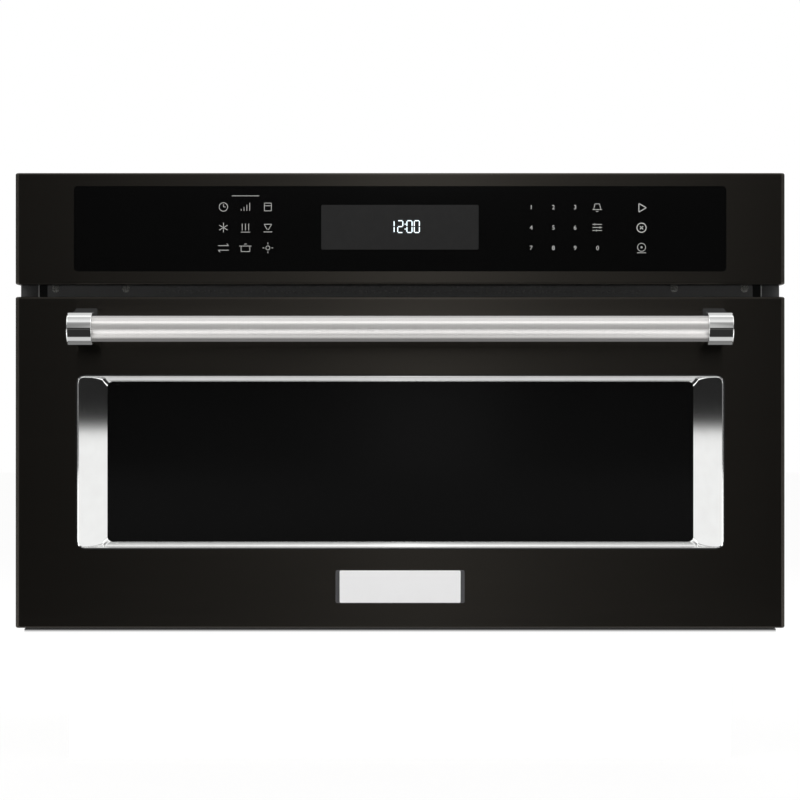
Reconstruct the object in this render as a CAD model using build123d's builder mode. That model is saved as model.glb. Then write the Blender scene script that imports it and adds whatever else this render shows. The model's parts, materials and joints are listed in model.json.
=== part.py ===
from build123d import *
import os
from math import cos, pi, radians, sin

# Built-in microwave oven with a drop-down door, 30 inch class, in millimetres.
# Frame: +X to the right seen from the front, +Y into the cabinet, +Z up.
# Origin: under the middle of the base pan, in the plane of the cabinet face (y = 0),
# which the side flanges bear on. The door and the control panel stand ahead of that plane.

os.makedirs("parts", exist_ok=True)

# Front: door, vent gap and control panel
front_width = 755.6
door_height = 325.1
door_lift = 3.0
vent_gap = 12.0
panel_height = 109.6
front_reach = 44.0
skin_gauge = 1.2
side_fold = 4.0
edge_fold = 2.0
door_back_gap = 8.0

# Case
case_width = 718.0
case_height = 436.0
case_depth = 502.0
case_gauge = 1.0
pan_gauge = 1.2
pan_lip = 16.0
pan_vent_y = 380.0
vent_slot_length = 40.0
vent_slot_width = 4.0
gland_hole = 11.0
gland_x = -300.0
gland_z = 60.0

# Front frame and side rails
frame_width = 701.6
frame_gauge = 1.0
frame_stand = 2.0
frame_lip = 15.0
rail_gauge = 2.0
rail_web = 60.0
flange_reach = 377.25
fixing_inset = 9.25
fixing_pitch = 240.0
fixing_low = 45.0
fixing_hole = 2.5
screw_head = 4.0
screw_head_high = 1.6
screw_shank = 1.9
screw_length = 7.0
frame_screw_x = (272.7, 342.5)

# Vent grille in the gap
grille_width = 495.4
grille_height = 12.0
grille_gauge = 1.0
grille_rise = 9.1
grille_row_pitch = 5.5
grille_slot_pitch = 6.0
grille_slot_width = 4.2
grille_slot_height = 3.4
grille_slots = 80
duct_depth = 110.0
duct_gauge = 0.8

# Cavity
cavity_width = 520.0
cavity_height = 210.0
cavity_depth = 372.0
cavity_floor = 60.5
cavity_corner = 12.0
cavity_gauge = 1.0
port_size = 80.0
port_x = 170.0
port_y = 186.0
lamp_port_width = 50.0
lamp_port_height = 40.0
lamp_port_y = 85.0
lamp_port_drop = 50.0
shaft_port = 9.0
fan_hole = 4.0

# Turntable
plate_radius = 180.0
plate_flat = 165.0
plate_thick = 5.0
plate_rim = 13.0
track_radius = 110.0
roller_radius = 8.0
roller_width = 6.0
roller_bore = 2.5
axle_radius = 2.2
ring_outer = 104.0
ring_inner = 98.0
ring_high = 5.0
run_clear = 0.3
coupler_radius = 14.0
shaft_radius = 3.0
motor_radius = 25.0
motor_high = 18.0

# Door window
bezel_width = 636.4
bezel_height = 169.8
bezel_corner = 8.0
bezel_floor_width = 579.6
bezel_floor_height = 158.4
bezel_floor_corner = 5.0
bezel_depth = 20.0
bezel_proud = 0.5
bezel_wall = 1.2
glass_width = 600.0
glass_height = 176.0
glass_thick = 4.0
fit_clear = 0.2

# Door inner parts
tray_gauge = 1.0
tray_width = 594.0
tray_height = 263.0
tray_window_width = 560.0
tray_window_height = 150.0
comb_width = 544.0
comb_height = 196.0
comb_slots = 24
comb_slot_width = 3.0
inner_glass_thick = 3.0
cover_width = 600.0
cover_height = 269.0
cover_back = 2.5
cover_lip = 10.0

# Handle
bar_radius = 12.5
bar_bore = 11.0
bar_half = 296.9
bar_axis_stand = 48.0
bar_drop = 32.5
cap_radius = 15.75
cap_length = 24.8
post_foot_width = 21.1
post_foot_rise = 5.7
post_foot_lift = 1.2
handle_screw_radius = 2.5
handle_screw_depth = 14.0
handle_screw_pitch = 18.0

# Badge plate
badge_width = 126.5
badge_height = 32.3
badge_thick = 1.6
badge_rise = 40.65
badge_bevel = 1.2

# Door hinges, springs and interlocks
hinge_stand = 20.0
hinge_height = 13.0
claw_x = 334.0
claw_gauge = 4.0
claw_eye = 8.0
claw_arm_low = 5.0
claw_arm_high = 21.0
claw_hook_high = 45.0
claw_reach = 34.0
pin_radius = 2.5
pin_clear = 0.15
crank_radius = 8.5
crank_pin = 1.5
strap_gauge = 2.0
strap_wall = 1.2
strap_slot_clear = 0.4
notch_clear = 2.2
channel_top = 190.0
channel_gauge = 1.5
channel_inner = 12.0
rod_radius = 2.0
spring_low = 72.0
spring_high = 150.0
spring_radius = 5.0
spring_wire = 0.9
spring_turns = 12
striker_x = 318.0
striker_gauge = 6.0
striker_drop = 22.1
striker_tall = 14.0
striker_reach = 18.0
plunger_length = 29.4

# Control panel
control_glass_width = 640.4
control_glass_height = 83.7
control_glass_corner = 4.0
control_glass_thick = 3.0
control_glass_recess = 0.3
display_width = 154.5
display_height = 43.8
display_rise = 1.5
board_gap = 8.0
board_gauge = 1.6
control_housing_wall = 2.0
control_housing_back = 14.0

# Heating, cooling and power parts
guide_width = 88.0
guide_length = 200.0
guide_height = 33.0
magnetron_width = 86.0
magnetron_depth = 76.0
magnetron_height = 78.0
filter_height = 38.0
anode_radius = 20.0
antenna_radius = 7.0
core_height = 84.0
core_width = 100.0
core_stack = 60.0
winding_thick = 9.0
transformer_y = 180.0
power_x = 309.0
capacitor_y = 300.0
capacitor_length = 60.0
capacitor_width = 36.0
capacitor_height = 90.0
blower_x = -225.0
blower_width = 50.0
blower_y = 300.0
blower_radius = 58.0
impeller_radius = 44.0
blades = 24
convection_width = 230.0
convection_height = 170.0
convection_depth = 44.0
fan_radius = 55.0
fan_blades = 12
heater_radius = 68.0
heater_tube = 3.3
convection_motor_radius = 32.0
convection_motor_length = 36.0

# Places worked out from the sizes above
door_top = door_lift + door_height
door_middle = door_lift + door_height / 2
panel_low = door_top + vent_gap
panel_middle = panel_low + panel_height / 2
face = -front_reach
door_back = -door_back_gap
frame_face = -frame_stand
frame_back = frame_face + frame_gauge
inner_half = case_width / 2 - case_gauge
inner_top = case_height - case_gauge
rear_inside = case_depth - case_gauge
grille_middle = door_top + grille_rise
cavity_middle = cavity_floor + cavity_height / 2
cavity_ceiling = cavity_floor + cavity_height
cavity_roof = cavity_ceiling + cavity_gauge
cavity_side = cavity_width / 2 + cavity_gauge
cavity_back_face = frame_back + cavity_depth
cavity_rear = cavity_back_face + cavity_gauge
turn_y = frame_back + cavity_depth / 2
window_middle = cavity_middle
glass_front = face + bezel_depth
glass_back = glass_front + glass_thick
hinge_y = -hinge_stand
bar_height = door_top - bar_drop
badge_middle = door_lift + badge_rise
striker_high = door_top - striker_drop
striker_low = striker_high - striker_tall
screw_x = bar_half + post_foot_width / 2
screw_heights = [bar_height + rise * handle_screw_pitch for rise in (-0.5, 0.5)]


def upright(depth, x=0.0, z=0.0):
    """Upright plane at a depth, facing the front, centred on (x, z)."""
    return Plane(origin=(x, depth, z), x_dir=(1, 0, 0), z_dir=(0, -1, 0))


def sideways(x, y=0.0, z=0.0):
    """Upright plane facing the right-hand side, centred on (y, z)."""
    return Plane(origin=(x, y, z), x_dir=(0, 1, 0), z_dir=(1, 0, 0))


def slab(width, height, front, rear, x=0.0, z=0.0, corner=0.0, mode=Mode.ADD):
    """Upright slab between two depths, with round corners where a radius is given."""
    with BuildSketch(upright(rear, x, z)) as outline:
        if corner > 0:
            RectangleRounded(width, height, corner)
        else:
            Rectangle(width, height)
    extrude(outline.sketch, amount=rear - front, mode=mode)


def block(across, deep, high, mode=Mode.ADD):
    """Box between a low and a high value on each axis."""
    spans = [sorted(pair) for pair in (across, deep, high)]
    middle = [(low + top) / 2 for low, top in spans]
    size = [top - low for low, top in spans]
    with Locations(tuple(middle)):
        Box(*size, mode=mode)


def bar(radius, start, end, mode=Mode.ADD):
    """Round bar between two points."""
    run = Vector(*end) - Vector(*start)
    with BuildSketch(Plane(origin=start, z_dir=run)) as section:
        Circle(radius)
    extrude(section.sketch, amount=run.length, mode=mode)


def about(value, half):
    """Low and high value, half each side of a middle one."""
    return (value - half, value + half)


def save(piece, name):
    """Label a finished piece and write its file."""
    piece.part.label = name
    export_step(piece.part, f"parts/{name}.step")


# Base pan: floor with turned-up sides, air slots and the motor's access hole
with BuildPart() as base_pan:
    block((-inner_half, inner_half), (frame_back, case_depth), (0, pan_gauge))
    for side in (-1, 1):
        block((side * inner_half, side * (inner_half - pan_gauge)), (frame_back, case_depth), (0, pan_lip))
    with BuildSketch(Plane.XY) as openings:
        with Locations((power_x, pan_vent_y), (-power_x, case_depth / 2)):
            with GridLocations(vent_slot_length + 12, vent_slot_width * 3, 1, 8):
                SlotOverall(vent_slot_length, vent_slot_width)
        with Locations((0, turn_y)):
            Circle(motor_radius + 6)
    extrude(openings.sketch, amount=pan_gauge, mode=Mode.SUBTRACT)
save(base_pan, "base_pan")

# Screws through the side rails and round the rear panel
rear_lip = 30.0
rail_screw_y = rail_web * 0.6
rail_screw_z = [case_height * share for share in (0.15, 0.5, 0.85)]
rear_screws = [
    (side * (inner_half - rear_lip / 2), case_height * share)
    for side in (-1, 1)
    for share in (0.1, 0.5, 0.9)
]

# Outer cover: one sheet wrapped over the top and down both sides, with air slots and rear lips
with BuildPart() as outer_cover:
    slab(case_width, case_height, frame_back, case_depth, z=case_height / 2)
    slab(2 * inner_half, inner_top, frame_back, case_depth, z=inner_top / 2, mode=Mode.SUBTRACT)
    with BuildSketch(sideways(-case_width / 2, case_depth * 0.72, case_height * 0.62)) as side_slots:
        with GridLocations(vent_slot_length + 10, vent_slot_width * 3, 3, 9):
            SlotOverall(vent_slot_length, vent_slot_width)
    extrude(side_slots.sketch, amount=case_width, mode=Mode.SUBTRACT)
    with BuildSketch(Plane.XY.offset(inner_top)) as top_slots:
        with Locations((0, case_depth * 0.8)):
            with GridLocations(vent_slot_length + 10, vent_slot_width * 3, 9, 6):
                SlotOverall(vent_slot_length, vent_slot_width)
    extrude(top_slots.sketch, amount=case_gauge, mode=Mode.SUBTRACT)
    for side in (-1, 1):
        block(
            (side * inner_half, side * (inner_half - rear_lip)),
            (rear_inside - case_gauge, rear_inside),
            (pan_lip, inner_top),
        )
        for z in rail_screw_z:
            bar(
                screw_shank + pin_clear,
                (side * inner_half, rail_screw_y, z),
                (side * case_width / 2, rail_screw_y, z),
                mode=Mode.SUBTRACT,
            )
    for x, z in rear_screws:
        bar(
            screw_shank + pin_clear,
            (x, rear_inside - case_gauge, z),
            (x, rear_inside, z),
            mode=Mode.SUBTRACT,
        )
save(outer_cover, "outer_cover")

# Rear panel between the cover's sides, standing on the pan
rear_height = inner_top - pan_gauge
rear_middle = pan_gauge + rear_height / 2
with BuildPart() as rear_panel:
    slab(2 * (inner_half - pan_gauge), rear_height, rear_inside, case_depth, z=rear_middle)
    with BuildSketch(upright(case_depth)) as openings:
        with Locations((0, rear_middle * 1.55)):
            with GridLocations(vent_slot_length + 10, vent_slot_width * 3, 11, 8):
                SlotOverall(vent_slot_length, vent_slot_width)
        with Locations((gland_x, gland_z)):
            Circle(gland_hole)
        for x, z in rear_screws:
            with Locations((x, z)):
                Circle(screw_shank + pin_clear)
    extrude(openings.sketch, amount=case_gauge, mode=Mode.SUBTRACT)
save(rear_panel, "rear_panel")

# Front frame: flat plate round the cavity mouth with slots for the hinge claws, strikers and vent
claw_slot = claw_gauge + 2
striker_slot = striker_gauge + 4
duct_width = grille_width - 15
duct_height = grille_height + 0.4
with BuildPart() as front_frame:
    slab(frame_width, inner_top, frame_face, frame_back, z=inner_top / 2)
    block(
        about(0, frame_width / 2),
        (frame_back, frame_back + frame_lip),
        (inner_top - frame_gauge, inner_top),
    )
    for side in (-1, 1):
        block(
            (side * frame_width / 2, side * (frame_width / 2 - frame_gauge)),
            (frame_back, frame_back + frame_lip),
            (pan_gauge, inner_top),
        )
    slab(
        cavity_width,
        cavity_height,
        frame_face,
        frame_back,
        z=cavity_middle,
        corner=cavity_corner,
        mode=Mode.SUBTRACT,
    )
    slab(
        duct_width - 2 * duct_gauge,
        duct_height - 2 * duct_gauge,
        frame_face,
        frame_back,
        z=grille_middle,
        mode=Mode.SUBTRACT,
    )
    for side in (-1, 1):
        block(
            about(side * claw_x, claw_slot / 2),
            (frame_face, frame_back),
            (claw_arm_low - 1, claw_hook_high + 1),
            mode=Mode.SUBTRACT,
        )
        block(
            about(side * striker_x, striker_slot / 2),
            (frame_face, frame_back),
            (striker_low - 4, striker_high + 6),
            mode=Mode.SUBTRACT,
        )
        for x in frame_screw_x:
            bar(
                screw_shank + pin_clear,
                (side * x, frame_back, grille_middle + 0.6),
                (side * x, frame_face, grille_middle + 0.6),
                mode=Mode.SUBTRACT,
            )
save(front_frame, "front_frame")

# Side rails: angles along the case sides whose flanges bear on the cabinet face
rail_low = door_lift
rail_inside = case_width / 2
fixing_x = flange_reach - fixing_inset
for side, hand in ((-1, "left"), (1, "right")):
    with BuildPart() as side_rail:
        block(
            (side * rail_inside, side * (rail_inside + rail_gauge)),
            (-rail_gauge, rail_web),
            (rail_low, case_height),
        )
        block((side * rail_inside, side * flange_reach), (-rail_gauge, 0), (rail_low, case_height))
        for z in (fixing_low, fixing_low + fixing_pitch):
            bar(
                fixing_hole,
                (side * fixing_x, -rail_gauge, z),
                (side * fixing_x, 0, z),
                mode=Mode.SUBTRACT,
            )
        for z in rail_screw_z:
            bar(
                screw_shank + pin_clear,
                (side * rail_inside, rail_screw_y, z),
                (side * (rail_inside + rail_gauge), rail_screw_y, z),
                mode=Mode.SUBTRACT,
            )
    save(side_rail, f"side_rail_{hand}")

# Vent grille: strip with two rows of slots over the duct's mouth
grille_face = frame_face - grille_gauge
with BuildPart() as vent_grille:
    slab(grille_width, grille_height, grille_face, frame_face, z=grille_middle)
    with BuildSketch(upright(frame_face, z=grille_middle)) as slots:
        with GridLocations(grille_slot_pitch, grille_row_pitch, grille_slots, 2):
            Rectangle(grille_slot_width, grille_slot_height)
    extrude(slots.sketch, amount=grille_gauge, mode=Mode.SUBTRACT)
save(vent_grille, "vent_grille")

# Exhaust duct from the component space to the grille
with BuildPart() as exhaust_duct:
    slab(duct_width, duct_height, frame_back, frame_back + duct_depth, z=grille_middle)
    slab(
        duct_width - 2 * duct_gauge,
        duct_height - 2 * duct_gauge,
        frame_back,
        frame_back + duct_depth,
        z=grille_middle,
        mode=Mode.SUBTRACT,
    )
save(exhaust_duct, "exhaust_duct")


def screw(seat, outward):
    """Pan-head screw: head on its seat, shank behind it."""
    out = Vector(*outward)
    point = Vector(*seat)
    bar(screw_head, seat, tuple(point + out * screw_head_high))
    bar(screw_shank, seat, tuple(point - out * screw_length))


# Case screws: in the vent gap, through the side rails and round the rear panel
with BuildPart() as case_screws:
    for side in (-1, 1):
        for x in frame_screw_x:
            screw((side * x, frame_face, grille_middle + 0.6), (0, -1, 0))
        for z in rail_screw_z:
            screw((side * (rail_inside + rail_gauge), rail_screw_y, z), (side, 0, 0))
    for x, z in rear_screws:
        screw((x, case_depth, z), (0, 1, 0))
save(case_screws, "case_screws")

# Cavity wrap: sheet tube with ports for the waveguide, the turntable shaft and the lamp
lamp_port_z = cavity_ceiling - lamp_port_drop
with BuildPart() as cavity_wrap:
    slab(
        cavity_width + 2 * cavity_gauge,
        cavity_height + 2 * cavity_gauge,
        frame_back,
        cavity_back_face,
        z=cavity_middle,
        corner=cavity_corner + cavity_gauge,
    )
    slab(
        cavity_width,
        cavity_height,
        frame_back,
        cavity_back_face,
        z=cavity_middle,
        corner=cavity_corner,
        mode=Mode.SUBTRACT,
    )
    block(
        about(port_x, port_size / 2),
        about(port_y, port_size / 2),
        (cavity_ceiling, cavity_roof),
        mode=Mode.SUBTRACT,
    )
    block(
        about(0, shaft_port / 2),
        about(turn_y, shaft_port / 2),
        (cavity_floor - cavity_gauge, cavity_floor),
        mode=Mode.SUBTRACT,
    )
    block(
        (-cavity_side, -cavity_width / 2),
        about(lamp_port_y, lamp_port_width / 2),
        about(lamp_port_z, lamp_port_height / 2),
        mode=Mode.SUBTRACT,
    )
save(cavity_wrap, "cavity_wrap")

# Cavity back: plate with a round field of air holes before the convection fan
with BuildPart() as cavity_back:
    slab(
        cavity_width + 2 * cavity_gauge,
        cavity_height + 2 * cavity_gauge,
        cavity_back_face,
        cavity_rear,
        z=cavity_middle,
        corner=cavity_corner + cavity_gauge,
    )
    with BuildSketch(upright(cavity_rear, z=cavity_middle)) as holes:
        Circle(fan_hole)
        for ring in (1, 2, 3, 4):
            with PolarLocations(ring * fan_hole * 3, ring * 6):
                Circle(fan_hole)
    extrude(holes.sketch, amount=cavity_gauge, mode=Mode.SUBTRACT)
save(cavity_back, "cavity_back")

# Waveguide: closed channel on the cavity roof, open over the port and under the magnetron
guide_low_y = port_y - port_size / 2 - duct_gauge
guide_high_y = guide_low_y + guide_length
magnetron_y = guide_high_y - guide_width / 2
guide_top = cavity_roof + guide_height
with BuildPart() as waveguide:
    block(about(port_x, guide_width / 2), (guide_low_y, guide_high_y), (cavity_roof, guide_top))
    block(
        about(port_x, guide_width / 2 - duct_gauge),
        (guide_low_y + duct_gauge, guide_high_y - duct_gauge),
        (cavity_roof + duct_gauge, guide_top - duct_gauge),
        mode=Mode.SUBTRACT,
    )
    block(
        about(port_x, port_size / 2),
        about(port_y, port_size / 2),
        (cavity_roof, cavity_roof + duct_gauge),
        mode=Mode.SUBTRACT,
    )
    bar(
        anode_radius / 2,
        (port_x, magnetron_y, guide_top - duct_gauge),
        (port_x, magnetron_y, guide_top),
        mode=Mode.SUBTRACT,
    )
save(waveguide, "waveguide")

# Mica sheet under the port
mica_gauge = 0.6
with BuildPart() as waveguide_cover:
    block(
        about(port_x, port_size / 2 + 10),
        about(port_y, port_size / 2 + 10),
        (cavity_ceiling - mica_gauge, cavity_ceiling),
    )
save(waveguide_cover, "waveguide_cover")

# Magnetron: anode with cooling fins inside a yoke, with the filter box on top
yoke_gauge = 2.0
fin_gauge = 0.8
fin_pitch = 8.0
fin_count = 7
yoke_low = guide_top
yoke_high = guide_top + magnetron_height
with BuildPart() as magnetron:
    block(about(port_x, magnetron_width / 2), about(magnetron_y, magnetron_depth / 2), (yoke_low, yoke_high))
    block(
        about(port_x, magnetron_width / 2 - yoke_gauge),
        about(magnetron_y, magnetron_depth / 2),
        (yoke_low + yoke_gauge, yoke_high - yoke_gauge),
        mode=Mode.SUBTRACT,
    )
    bar(
        anode_radius,
        (port_x, magnetron_y, yoke_low + yoke_gauge),
        (port_x, magnetron_y, yoke_high - yoke_gauge),
    )
    for fin in range(fin_count):
        fin_z = (yoke_low + yoke_high) / 2 + (fin - (fin_count - 1) / 2) * fin_pitch
        block(
            about(port_x, magnetron_width / 2 - yoke_gauge),
            about(magnetron_y, magnetron_depth / 2 - 6),
            about(fin_z, fin_gauge / 2),
        )
    block(
        about(port_x, magnetron_width / 2 - 6),
        about(magnetron_y, magnetron_depth / 2 - 6),
        (yoke_high, yoke_high + filter_height),
    )
    bar(
        antenna_radius,
        (port_x, magnetron_y, guide_top - guide_height / 2),
        (port_x, magnetron_y, yoke_low),
    )
save(magnetron, "magnetron")

# Transformer: laminated core with two windows, and a coil through each end of them
window_width = core_width / 6
window_height = core_height * 0.6
core_base = pan_gauge + 2
core_middle = core_base + core_height / 2
with BuildPart() as transformer_core:
    block(
        about(power_x, core_stack / 2),
        about(transformer_y, core_width / 2),
        (core_base, core_base + core_height),
    )
    for side in (-1, 1):
        block(
            about(power_x, core_stack / 2),
            about(transformer_y + side * core_width / 4, window_width / 2),
            about(core_middle, window_height / 2),
            mode=Mode.SUBTRACT,
        )
    block(
        about(power_x, core_stack / 2 + 6),
        about(transformer_y, core_width / 2 + 10),
        (pan_gauge, core_base),
    )
save(transformer_core, "transformer_core")

winding_height = window_height / 2 - 2
with BuildPart() as transformer_windings:
    for side in (-1, 1):
        level = about(core_middle + side * window_height / 4, winding_height / 2)
        block(
            about(power_x, core_stack / 2 + winding_thick),
            about(transformer_y, core_width / 4 + window_width / 2 - fit_clear),
            level,
        )
        block(
            about(power_x, core_stack / 2 + fit_clear),
            about(transformer_y, core_width / 4 - window_width / 2 + fit_clear),
            level,
            mode=Mode.SUBTRACT,
        )
save(transformer_windings, "transformer_windings")

# High-voltage capacitor: oval can standing on the pan, with two tabs
with BuildPart() as hv_capacitor:
    with BuildSketch(Plane.XY.offset(pan_gauge)) as can:
        with Locations((power_x, capacitor_y)):
            SlotOverall(capacitor_length, capacitor_width)
    extrude(can.sketch, amount=capacitor_height)
    for side in (-1, 1):
        block(
            about(power_x + side * 10, 3),
            about(capacitor_y, 0.5),
            (pan_gauge + capacitor_height, pan_gauge + capacitor_height + 10),
        )
save(hv_capacitor, "hv_capacitor")

# Cooling blower: scroll housing on the cavity roof, its impeller and its motor
scroll_gauge = 1.5
blower_z = cavity_roof + blower_radius + 3
blower_left = blower_x - blower_width / 2
blower_right = blower_x + blower_width / 2
inlet_radius = impeller_radius * 0.7
hub_hole = 8.0
with BuildPart() as blower_housing:
    bar(blower_radius, (blower_left, blower_y, blower_z), (blower_right, blower_y, blower_z))
    block(
        (blower_left, blower_right),
        (blower_y - blower_radius * 1.6, blower_y),
        (blower_z + blower_radius * 0.3, blower_z + blower_radius),
    )
    block((blower_left, blower_right), about(blower_y, blower_radius), (cavity_roof, cavity_roof + 2))
    block((blower_left, blower_right), about(blower_y, blower_radius / 2), (cavity_roof, blower_z))
    bar(
        blower_radius - scroll_gauge,
        (blower_left + scroll_gauge, blower_y, blower_z),
        (blower_right - scroll_gauge, blower_y, blower_z),
        mode=Mode.SUBTRACT,
    )
    block(
        (blower_left + scroll_gauge, blower_right - scroll_gauge),
        (blower_y - blower_radius * 1.6, blower_y),
        (blower_z + blower_radius * 0.3 + scroll_gauge, blower_z + blower_radius - scroll_gauge),
        mode=Mode.SUBTRACT,
    )
    bar(
        inlet_radius,
        (blower_left, blower_y, blower_z),
        (blower_left + scroll_gauge, blower_y, blower_z),
        mode=Mode.SUBTRACT,
    )
    bar(
        hub_hole,
        (blower_right - scroll_gauge, blower_y, blower_z),
        (blower_right, blower_y, blower_z),
        mode=Mode.SUBTRACT,
    )
save(blower_housing, "blower_housing")

wheel_left = blower_left + scroll_gauge + 4
wheel_right = blower_right - scroll_gauge - 4
disc_gauge = 2.0
blade_gauge = 1.2
blade_chord = 8.0
blade_inset = 1.0
blower_motor_length = 34.0
shaft_depth = 20.0
with BuildPart() as blower_impeller:
    bar(impeller_radius, (wheel_right - disc_gauge, blower_y, blower_z), (wheel_right, blower_y, blower_z))
    bar(impeller_radius, (wheel_left, blower_y, blower_z), (wheel_left + disc_gauge, blower_y, blower_z))
    bar(
        impeller_radius - blade_chord,
        (wheel_left, blower_y, blower_z),
        (wheel_left + disc_gauge, blower_y, blower_z),
        mode=Mode.SUBTRACT,
    )
    with BuildSketch(sideways(wheel_left + disc_gauge, blower_y, blower_z)) as blade_set:
        with PolarLocations(impeller_radius - blade_chord / 2, blades):
            Rectangle(blade_chord - 2 * blade_inset, blade_gauge)
    extrude(blade_set.sketch, amount=wheel_right - wheel_left - 2 * disc_gauge)
    bar(shaft_radius, (wheel_right, blower_y, blower_z), (blower_right + shaft_depth - 2, blower_y, blower_z))
save(blower_impeller, "blower_impeller")

with BuildPart() as blower_motor:
    bar(
        blower_radius / 2,
        (blower_right, blower_y, blower_z),
        (blower_right + blower_motor_length, blower_y, blower_z),
    )
    bar(
        shaft_radius + run_clear,
        (blower_right, blower_y, blower_z),
        (blower_right + shaft_depth, blower_y, blower_z),
        mode=Mode.SUBTRACT,
    )
save(blower_motor, "blower_motor")

# Turntable motor under the cavity floor
floor_under = cavity_floor - cavity_gauge
with BuildPart() as turntable_motor:
    bar(motor_radius, (0, turn_y, floor_under - motor_high), (0, turn_y, floor_under))
    block(about(0, motor_radius + 8), about(turn_y, 6), (floor_under - 1, floor_under))
    bar(
        shaft_radius + run_clear,
        (0, turn_y, floor_under - motor_high + 6),
        (0, turn_y, floor_under),
        mode=Mode.SUBTRACT,
    )
save(turntable_motor, "turntable_motor")

# Turntable: shaft and three-lobed coupler, glass plate with a raised rim
roller_axis = cavity_floor + run_clear + roller_radius
plate_under = roller_axis + roller_radius + run_clear
lobe_radius = 4.0
hub_wall = 2.0
hub_drop = 3.0
with BuildPart() as turntable_coupler:
    bar(
        shaft_radius,
        (0, turn_y, floor_under - motor_high + 8),
        (0, turn_y, cavity_floor + 1),
    )
    with BuildSketch(Plane.XY.offset(cavity_floor + 0.5)) as hub:
        with Locations((0, turn_y)):
            Circle(coupler_radius / 2)
            with PolarLocations(coupler_radius - lobe_radius, 3):
                Circle(lobe_radius)
    extrude(hub.sketch, amount=plate_under - cavity_floor - 0.5)
save(turntable_coupler, "turntable_coupler")

with BuildPart() as glass_turntable:
    with BuildSketch(Plane(origin=(0, turn_y, plate_under), x_dir=(1, 0, 0), z_dir=(0, -1, 0))) as profile:
        with BuildLine():
            Polyline(
                (0, 0),
                (plate_flat, 0),
                (plate_radius, plate_rim - plate_thick / 2),
                (plate_radius, plate_rim),
                (plate_radius - plate_thick / 2, plate_rim),
                (plate_flat - plate_thick / 4, plate_thick),
                (0, plate_thick),
                close=True,
            )
        make_face()
    revolve(profile.sketch, axis=Axis((0, turn_y, 0), (0, 0, 1)))
    bar(
        coupler_radius + hub_wall + run_clear,
        (0, turn_y, plate_under - hub_drop),
        (0, turn_y, plate_under),
    )
    bar(
        coupler_radius + run_clear,
        (0, turn_y, plate_under - hub_drop),
        (0, turn_y, plate_under),
        mode=Mode.SUBTRACT,
    )
save(glass_turntable, "glass_turntable")

# Roller ring and its three rollers
roller_angles = (90, 210, 330)
with BuildPart() as roller_ring:
    bar(ring_outer, (0, turn_y, roller_axis - ring_high / 2), (0, turn_y, roller_axis + ring_high / 2))
    bar(
        ring_inner,
        (0, turn_y, roller_axis - ring_high / 2),
        (0, turn_y, roller_axis + ring_high / 2),
        mode=Mode.SUBTRACT,
    )
    for angle in roller_angles:
        out = Vector(cos(radians(angle)), sin(radians(angle)), 0)
        middle = Vector(0, turn_y, roller_axis)
        axle_end = track_radius + roller_width / 2 + 2
        bar(axle_radius, tuple(middle + out * (ring_outer - 3)), tuple(middle + out * axle_end))
save(roller_ring, "roller_ring")

for number, angle in enumerate(roller_angles, 1):
    out = Vector(cos(radians(angle)), sin(radians(angle)), 0)
    middle = Vector(0, turn_y, roller_axis)
    near = tuple(middle + out * (track_radius - roller_width / 2))
    far = tuple(middle + out * (track_radius + roller_width / 2))
    with BuildPart() as roller:
        bar(roller_radius, near, far)
        bar(roller_bore, near, far, mode=Mode.SUBTRACT)
    save(roller, f"roller_{number}")

# Convection unit behind the cavity: housing, ring heater, fan and motor
unit_back = cavity_rear + convection_depth
heater_y = cavity_rear + convection_depth / 2
with BuildPart() as convection_housing:
    slab(convection_width, convection_height, cavity_rear, unit_back, z=cavity_middle, corner=cavity_corner)
    slab(
        convection_width - 2 * cavity_gauge,
        convection_height - 2 * cavity_gauge,
        cavity_rear,
        unit_back - cavity_gauge,
        z=cavity_middle,
        corner=cavity_corner - cavity_gauge,
        mode=Mode.SUBTRACT,
    )
    bar(
        hub_hole,
        (0, unit_back - cavity_gauge, cavity_middle),
        (0, unit_back, cavity_middle),
        mode=Mode.SUBTRACT,
    )
save(convection_housing, "convection_housing")

with BuildPart() as convection_heater:
    with Locations(Location((0, heater_y, cavity_middle), (90, 0, 0))):
        Torus(heater_radius, heater_tube)
    for side in (-1, 1):
        lean = side * 12
        drop = (heater_radius**2 - lean**2) ** 0.5
        bar(
            heater_tube + 1,
            (lean, heater_y, cavity_middle - drop),
            (lean, unit_back - cavity_gauge, cavity_middle - drop),
        )
save(convection_heater, "convection_heater")

fan_front = cavity_rear + 8
fan_back = unit_back - 12
with BuildPart() as convection_impeller:
    bar(fan_radius, (0, fan_back - disc_gauge, cavity_middle), (0, fan_back, cavity_middle))
    with BuildSketch(upright(fan_back - disc_gauge, z=cavity_middle)) as blade_set:
        with PolarLocations(fan_radius * 0.72, fan_blades):
            Rectangle(fan_radius * 0.5, blade_gauge)
    extrude(blade_set.sketch, amount=fan_back - disc_gauge - fan_front)
    bar(
        shaft_radius,
        (0, fan_back, cavity_middle),
        (0, unit_back + shaft_depth - 2, cavity_middle),
    )
save(convection_impeller, "convection_impeller")

with BuildPart() as convection_motor:
    bar(
        convection_motor_radius,
        (0, unit_back, cavity_middle),
        (0, unit_back + convection_motor_length, cavity_middle),
    )
    bar(
        shaft_radius + run_clear,
        (0, unit_back, cavity_middle),
        (0, unit_back + shaft_depth, cavity_middle),
        mode=Mode.SUBTRACT,
    )
save(convection_motor, "convection_motor")

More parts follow.
